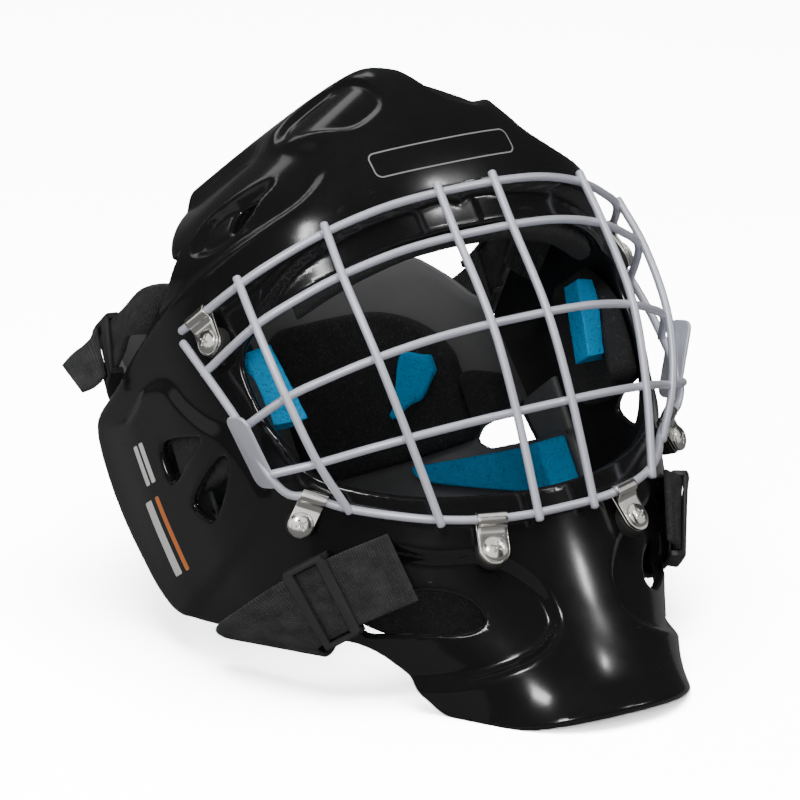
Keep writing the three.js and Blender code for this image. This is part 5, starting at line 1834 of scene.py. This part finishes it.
@dataclass(frozen=True)
class Harness:
    """The elastic straps with their slides, stitches and loose ends, and the chin sling.

    Attributes:
        plate: the back plate that the straps are fixed to.
        rack: where the pieces are hung.
        lift: how far the jaw straps lie off the shell.
        slide_long: length of a slide along its strap.
        slide_bar: width of its bars.
        slide_thick: thickness of its bars.
        play: clearance between a strap and its slide.
        jaw_upper: (front, up) of the jaw strap's upper edge on the shell.
        jaw_lower: the same for its lower edge.
    """

    plate: BackPlate
    rack: Rack
    lift: float = 5.6
    slide_long: float = 20.0
    slide_bar: float = 4.4
    slide_thick: float = 2.2
    play: float = 0.45
    jaw_upper: tuple[Pair, ...] = (
        (-20, -66), (-37, -67), (-56, -68.4), (-82, -70.6), (-108, -73))
    jaw_lower: tuple[Pair, ...] = (
        (-20, -96), (-39, -97), (-59, -98.2), (-62, -98.7), (-65, -99.3))

    def jaw(self) -> Strap:
        """Strap from the jaw recess back, round the lower rim and in to the back plate."""
        def turned(rows: Sequence[Pair]) -> list[Array]:
            """An edge along the shell, then round its rim: (down beside it, off the shell)."""
            front, up = rows[-1]
            steps = ((5.4, 1.0), (5.6, -WALL - 1), (0.0, -WALL - 3.8), (-9.0, -WALL - 4))
            return [*(FORM.on_side(*row, self.lift) for row in rows),
                    *(FORM.on_side(front - 0.476 * down, up - 0.879 * down, off)
                      for down, off in steps)]

        return Strap([*turned(self.jaw_upper), (95.6, -124, -44), (96.6, -133, -24)],
                     [*turned(self.jaw_lower), (93.6, -98, -66), (96.2, -128, -45)])

    def temple(self) -> Strap:
        """Strap from inside the rear edge, out behind it and in to the back plate."""
        deep = -WALL - 5
        return Strap(
            [FORM.on_side(-70, 54, deep), FORM.on_side(-77, 66, deep), (96, -92, 72),
             (97, -115, 70), (98.5, -138, 65), self.plate.on_it(66, 59), self.plate.on_it(53, 56)],
            [FORM.on_side(-99, 42, deep), FORM.on_side(-106, 54, deep), (100, -114.5, 57),
             (99.5, -125.5, 52), (99.5, -139.5, 44), self.plate.on_it(67, 33),
             self.plate.on_it(54, 29)])

    def tail(self, temple: Strap) -> Strap:
        """Loose end of the temple strap, folded forward out of its slide."""
        over = STRAP + self.play + self.slide_thick + 0.1
        first, second = (temple.local(np.array(0.62), across, over) for across in (0.0, 1.0))
        return Strap([first, (108, -136, 62.5), (111.5, -144, 60.5), (115, -150, 57.5)],
                     [second, (111, -129, 43.5), (113.5, -134, 42), (116.5, -138.5, 42)])

    def crown(self) -> Strap:
        """Strap from inside the crown's rear edge to the top of the back plate."""
        under = [FORM.point(np.array(math.pi), np.array(level), WALL + 5.2)
                 for level in (121, 116.5, 111.5)]
        line = [*under, (0, -152, 102), (0, -178, 92),
                self.plate.on_it(0, 79), self.plate.on_it(0, 50)]
        return Strap(*([(x, p[1], p[2]) for p in line] for x in (15, -15)))

    def sling(self) -> Strap:
        """Padded band across the inside of the jaw."""
        def whole(half: Sequence[Triple], up: float) -> list:
            half = [*half, FORM.on_side(-54, up, -WALL - 3.4)]
            return both_ways(half, lambda p: np.array(p) * Hand.RIGHT.flip)

        upper = ((0, -45, -88), (22, -46.5, -85), (46, -49.5, -80.5), (62, -52, -77))
        lower = ((0, -43, -114), (21, -44.5, -113), (44, -47.5, -110), (60, -51.5, -104))
        return Strap(whole(upper, -72), whole(lower, -91))

    def ribbon(self, strap: Strap, name: str, node: str, hand: Hand = Hand.LEFT,
               finish: Finish = Finish.WEBBING, wave: float = 0.0,
               foam: float | None = None) -> None:
        """Models and dresses a strap.

        Args:
            strap: its sheet.
            name: piece name.
            node: CAD node it stands for.
            hand: the side it is on.
            finish: its finish.
            wave: height of slight ripples in mm.
            foam: fill where it is padded.
        """
        def surface(u: Array, v: Array, lift: Array) -> Array:
            along = u * strap.long
            ripple = wave * np.sin(along * 0.21 + 3 * v) * np.sin(along * 0.047 + 1)
            return strap.at_run(along, v, lift + ripple) * hand.flip

        band = plate((strap.long, strap.wide), STRAP, surface, step=(1.7, 2.2),
                     radius=STRAP / 2 * 0.9, mapped=True)
        self.rack.hang(name, band, finish, node, foam=foam)

    def stitches(self, strap: Strap, rows: Sequence[float], hand: Hand, name: str) -> None:
        """Rows of short stitches across a strap, at distances along it in mm."""
        bm = bmesh.new()
        pitch, long = 2.6, 2.0
        over = long * np.array([0.0, 0.175, 0.5, 0.825, 1.0])
        lift = STRAP / 2 + np.array([-0.12, 0.12, 0.2, 0.12, -0.12])
        for along in rows:
            for k in range(int((strap.wide - 3) / pitch)):
                span = (2.0 + pitch * k + over) / strap.wide
                line = strap.at_run(np.full(5, along) + 0.15 * math.sin(k * 2.1), span, lift)
                tube(bm, line * hand.flip, 0.34, sides=6)
        self.rack.hang(name, bm, Finish.SLIDE, slot=Finish.WEBBING)

    def slide(self, strap: Strap, share: float, hand: Hand, name: str, node: str) -> None:
        """Three-bar slide that a strap is threaded through."""
        bm = bmesh.new()
        centre = float(np.interp(share, strap.share, strap.run))
        first, second = (strap.local(np.array(share), across, 0.0) for across in (0.0, 1.0))
        wide = float(np.linalg.norm(first - second))
        clear, rail = STRAP / 2 + self.play, 2.4
        over, under = clear + self.slide_thick, -clear - self.slide_thick * 0.75

        def bar(along: float, long: float, low: float, high: float, base: float, top: float,
                radius: float = 0.95) -> None:
            def surface(u: Array, v: Array, lift: Array) -> Array:
                at, across = along + long * (u - 0.5), (low + (high - low) * v) / wide
                return strap.at_run(at, across, (base + top) / 2 + lift) * hand.flip
            plate((long, high - low), top - base, surface, step=(1.1, 1.6), radius=radius, bm=bm)

        half = (self.slide_long - self.slide_bar) / 2
        low, high = -self.play - rail, wide + self.play + rail
        for along in (centre - half, centre + half):
            bar(along, self.slide_bar, low, high, clear, over)
        bar(centre, self.slide_bar, low, high, under, -clear, 0.7)
        bar(centre, self.slide_long, low, -self.play, under, over)
        bar(centre, self.slide_long, wide + self.play, high, under, over)
        self.rack.hang(name, bm, Finish.SLIDE, node)

    def build(self) -> None:
        """Models and dresses the whole harness."""
        jaw, temple = self.jaw(), self.temple()
        tail = self.tail(temple)
        for hand in Hand:
            end = hand.label
            self.ribbon(jaw, f"jaw_elastic_{end}", f"jaw_strap_{end}", hand)
            self.stitches(jaw, (3.2, 7.0), hand, f"jaw_stitching_{end}")
            self.slide(jaw, 0.15, hand, f"jaw_buckle_{end}", f"jaw_slide_{end}")
            self.ribbon(temple, f"temple_elastic_{end}", f"temple_strap_{end}", hand, wave=0.3)
            self.slide(temple, 0.66, hand, f"temple_buckle_{end}", f"temple_slide_{end}")
            self.ribbon(tail, f"temple_loose_end_{end}", f"temple_tail_{end}", hand)
        self.ribbon(self.crown(), "crown_elastic", "crown_strap")
        self.ribbon(self.sling(), "chin_sling_cloth", "chin_sling", finish=Finish.BLACK_FOAM,
                    wave=0.2, foam=0.7)


# ---------------------------------------------------------------- stage
@dataclass(frozen=True)
class Lamp:
    """A rectangular soft light aimed at the part.

    Attributes:
        name: its name.
        place: where it stands, in metres.
        size: its two sides.
        power: power in watts.
        mirrored: whether it shows in gloss, or else lights dull faces only.
    """

    name: str
    place: Triple
    size: Pair
    power: float
    mirrored: bool = True

    def build(self, onto: Sequence[Object] = ()) -> None:
        """Adds the light; onto lists the only objects it lights, if not all of them."""
        lamp = bpy.data.lights.new(self.name, "AREA")
        lamp.shape, (lamp.size, lamp.size_y), lamp.energy = "RECTANGLE", self.size, self.power
        obj = bpy.data.objects.new(self.name, lamp)
        aim = Vector((0, 0, 0.12)) - Vector(self.place)
        turn = aim.to_track_quat("-Z", "Y").to_matrix().to_4x4()
        obj.matrix_world = Matrix.Translation(self.place) @ turn
        obj.visible_glossy, obj.visible_diffuse = self.mirrored, not self.mirrored
        if onto:
            group = bpy.data.collections.new(f"lit by {self.name}")
            for piece in onto:
                group.objects.link(piece)
            obj.light_linking.receiver_collection = group
        bpy.context.scene.collection.objects.link(obj)


@dataclass(frozen=True)
class Studio:
    """Pale floor, soft lights and the camera.

    Attributes:
        focal: focal length of the camera.
        azimuth: where the camera stands, round the part.
        elevation: how high it looks down from.
        away: how far it stands from the cage's middle, in metres.
        aside: how far its axis passes beside and under the cage's middle, in metres.
        paper: brightness of the floor to the camera.
        dull: grey of the floor to the part, and in its gloss.
        haze: strength of the world on the part.
        dim: strength of the world in its gloss.
        lamps: lights for the whole part.
        metal_lamps: lights for the metal pieces only.
    """

    focal: float = 324.3
    azimuth: float = math.radians(-35)
    elevation: float = math.radians(18.32)
    away: float = 3.0
    aside: Pair = (0.0406, 0.025)
    paper: float = 16.0
    dull: tuple[Colour, Colour] = (grey(0.42), grey(0.22))
    haze: float = 0.16
    dim: float = 0.05
    lamps: tuple[Lamp, ...] = (
        Lamp("overhead softbox", (-0.1, -0.3, 1.9), (1.6, 1.6), 30, False),
        Lamp("front fill", (-1.6, -1.9, 1.0), (1.4, 1.2), 12, False),
        Lamp("rear fill", (0.3, 2.2, 1.4), (1.4, 0.9), 6, False),
        Lamp("side fill", (-2.3, -0.2, 0.8), (1.4, 1.2), 11, False),
        Lamp("left strip", (-1.16, -1.04, 1.40), (0.28, 0.5), 13),
        Lamp("right strip", (1.17, -1.26, 1.20), (0.09, 0.16), 2.6),
        Lamp("right low strip", (0.98, -1.05, 1.54), (0.08, 0.14), 2.0),
        Lamp("rear strip", (0.15, 1.67, 1.09), (1.4, 0.45), 2.0),
        Lamp("side strip", (-1.48, 1.04, 0.85), (0.45, 1.0), 0.5))
    metal_lamps: tuple[Lamp, ...] = (
        Lamp("metal softbox", (-1.2, -1.7, 1.0), (3.0, 2.4), 29),
        Lamp("metal overhead", (0.2, 0.0, 2.2), (3.0, 3.0), 32),
        Lamp("metal right", (1.8, -1.4, 0.9), (2.0, 2.0), 10),
        Lamp("metal left", (-2.2, 0.4, 0.8), (2.4, 2.0), 20))

    def floor(self) -> None:
        """A wide pale floor that looks near white, and throws little light back up."""
        bm = bmesh.new()
        bmesh.ops.create_grid(bm, x_segments=1, y_segments=1, size=14)
        material = bpy.data.materials.new("studio floor")
        material.use_nodes = True
        g = Graph(material.node_tree)
        g.tree.nodes.remove(g.tree.nodes["Principled BSDF"])
        patch = g.span(g.noise(g.objects(), 0.8, 2.0), 0.3, 0.7)
        pale = g.mix(patch, grey(self.paper, self.paper * 1.01), grey(self.paper * 0.96))
        path = g.add("LightPath").outputs
        seen, felt = (g.add("BsdfDiffuse", {"Color": colour}).outputs[0]
                      for colour in (pale, g.mix(path["Is Glossy Ray"], *self.dull)))
        mixed = g.add("MixShader", {0: path["Is Camera Ray"], 1: felt, 2: seen})
        g.feed(g.tree.nodes["Material Output"].inputs["Surface"], mixed.outputs[0])
        as_object("studio_floor", bm, [material])

    def camera(self) -> None:
        """Places the camera where the view is taken from."""
        az, el = self.azimuth, self.elevation
        back = Vector((math.sin(az) * math.cos(el), -math.cos(az) * math.cos(el), math.sin(el)))
        right = Vector((math.cos(az), math.sin(az), 0))
        up = back.cross(right)
        middle = Vector((0, REST.setback, REST.height)) / METRE
        data = bpy.data.cameras.new("camera")
        data.lens, data.sensor_width, data.clip_end = self.focal, 36, 60
        camera = bpy.data.objects.new("camera", data)
        camera.matrix_world = Matrix([[*row] for row in zip(right, up, back)]).to_4x4()
        camera.matrix_world.translation = (
            back * self.away - right * self.aside[0] - up * self.aside[1] + middle)
        bpy.context.scene.collection.objects.link(camera)
        bpy.context.scene.camera = camera

    def world(self) -> None:
        """A white world, dimmer in gloss than on dull faces."""
        world = bpy.context.scene.world or bpy.data.worlds.new("studio")
        bpy.context.scene.world = world
        world.use_nodes = True
        g = Graph(world.node_tree)
        background = g.tree.nodes["Background"].inputs
        mirrored = g.add("LightPath").outputs["Is Glossy Ray"]
        g.feed(background["Color"], grey(1.0))
        g.feed(background["Strength"], g.span(mirrored, 0, 1, self.haze, self.dim))

    def build(self, finishes: dict[Finish, Material]) -> None:
        """Sets up the floor, camera, lights and world."""
        self.floor()
        self.camera()
        for lamp in self.lamps:
            lamp.build()
        metal = {finishes[finish] for finish in (Finish.CAGE, Finish.HARDWARE)}
        shiny = [piece for piece in bpy.context.scene.objects
                 if piece.type == "MESH" and metal & {*piece.data.materials}]
        for lamp in self.metal_lamps:
            lamp.build(shiny)
        self.world()


def main() -> None:
    """Builds every sub-assembly in order, then the stage."""
    logging.basicConfig(level=logging.INFO, format="%(name)s %(message)s")
    finishes = Surfaces().build()
    rack = Rack(finishes)
    Shell().build(rack)
    cage = Cage()
    cage.build(rack)
    for clip in CLIPS:
        for hand in Hand:
            clip.build(cage, hand, rack)
    Sweatband().build(rack)
    TempleLining().build(rack)
    back = BackPlate()
    back.build(rack)
    Harness(back, rack).build()
    Studio().build(finishes)


if __name__ == "__main__":
    main()
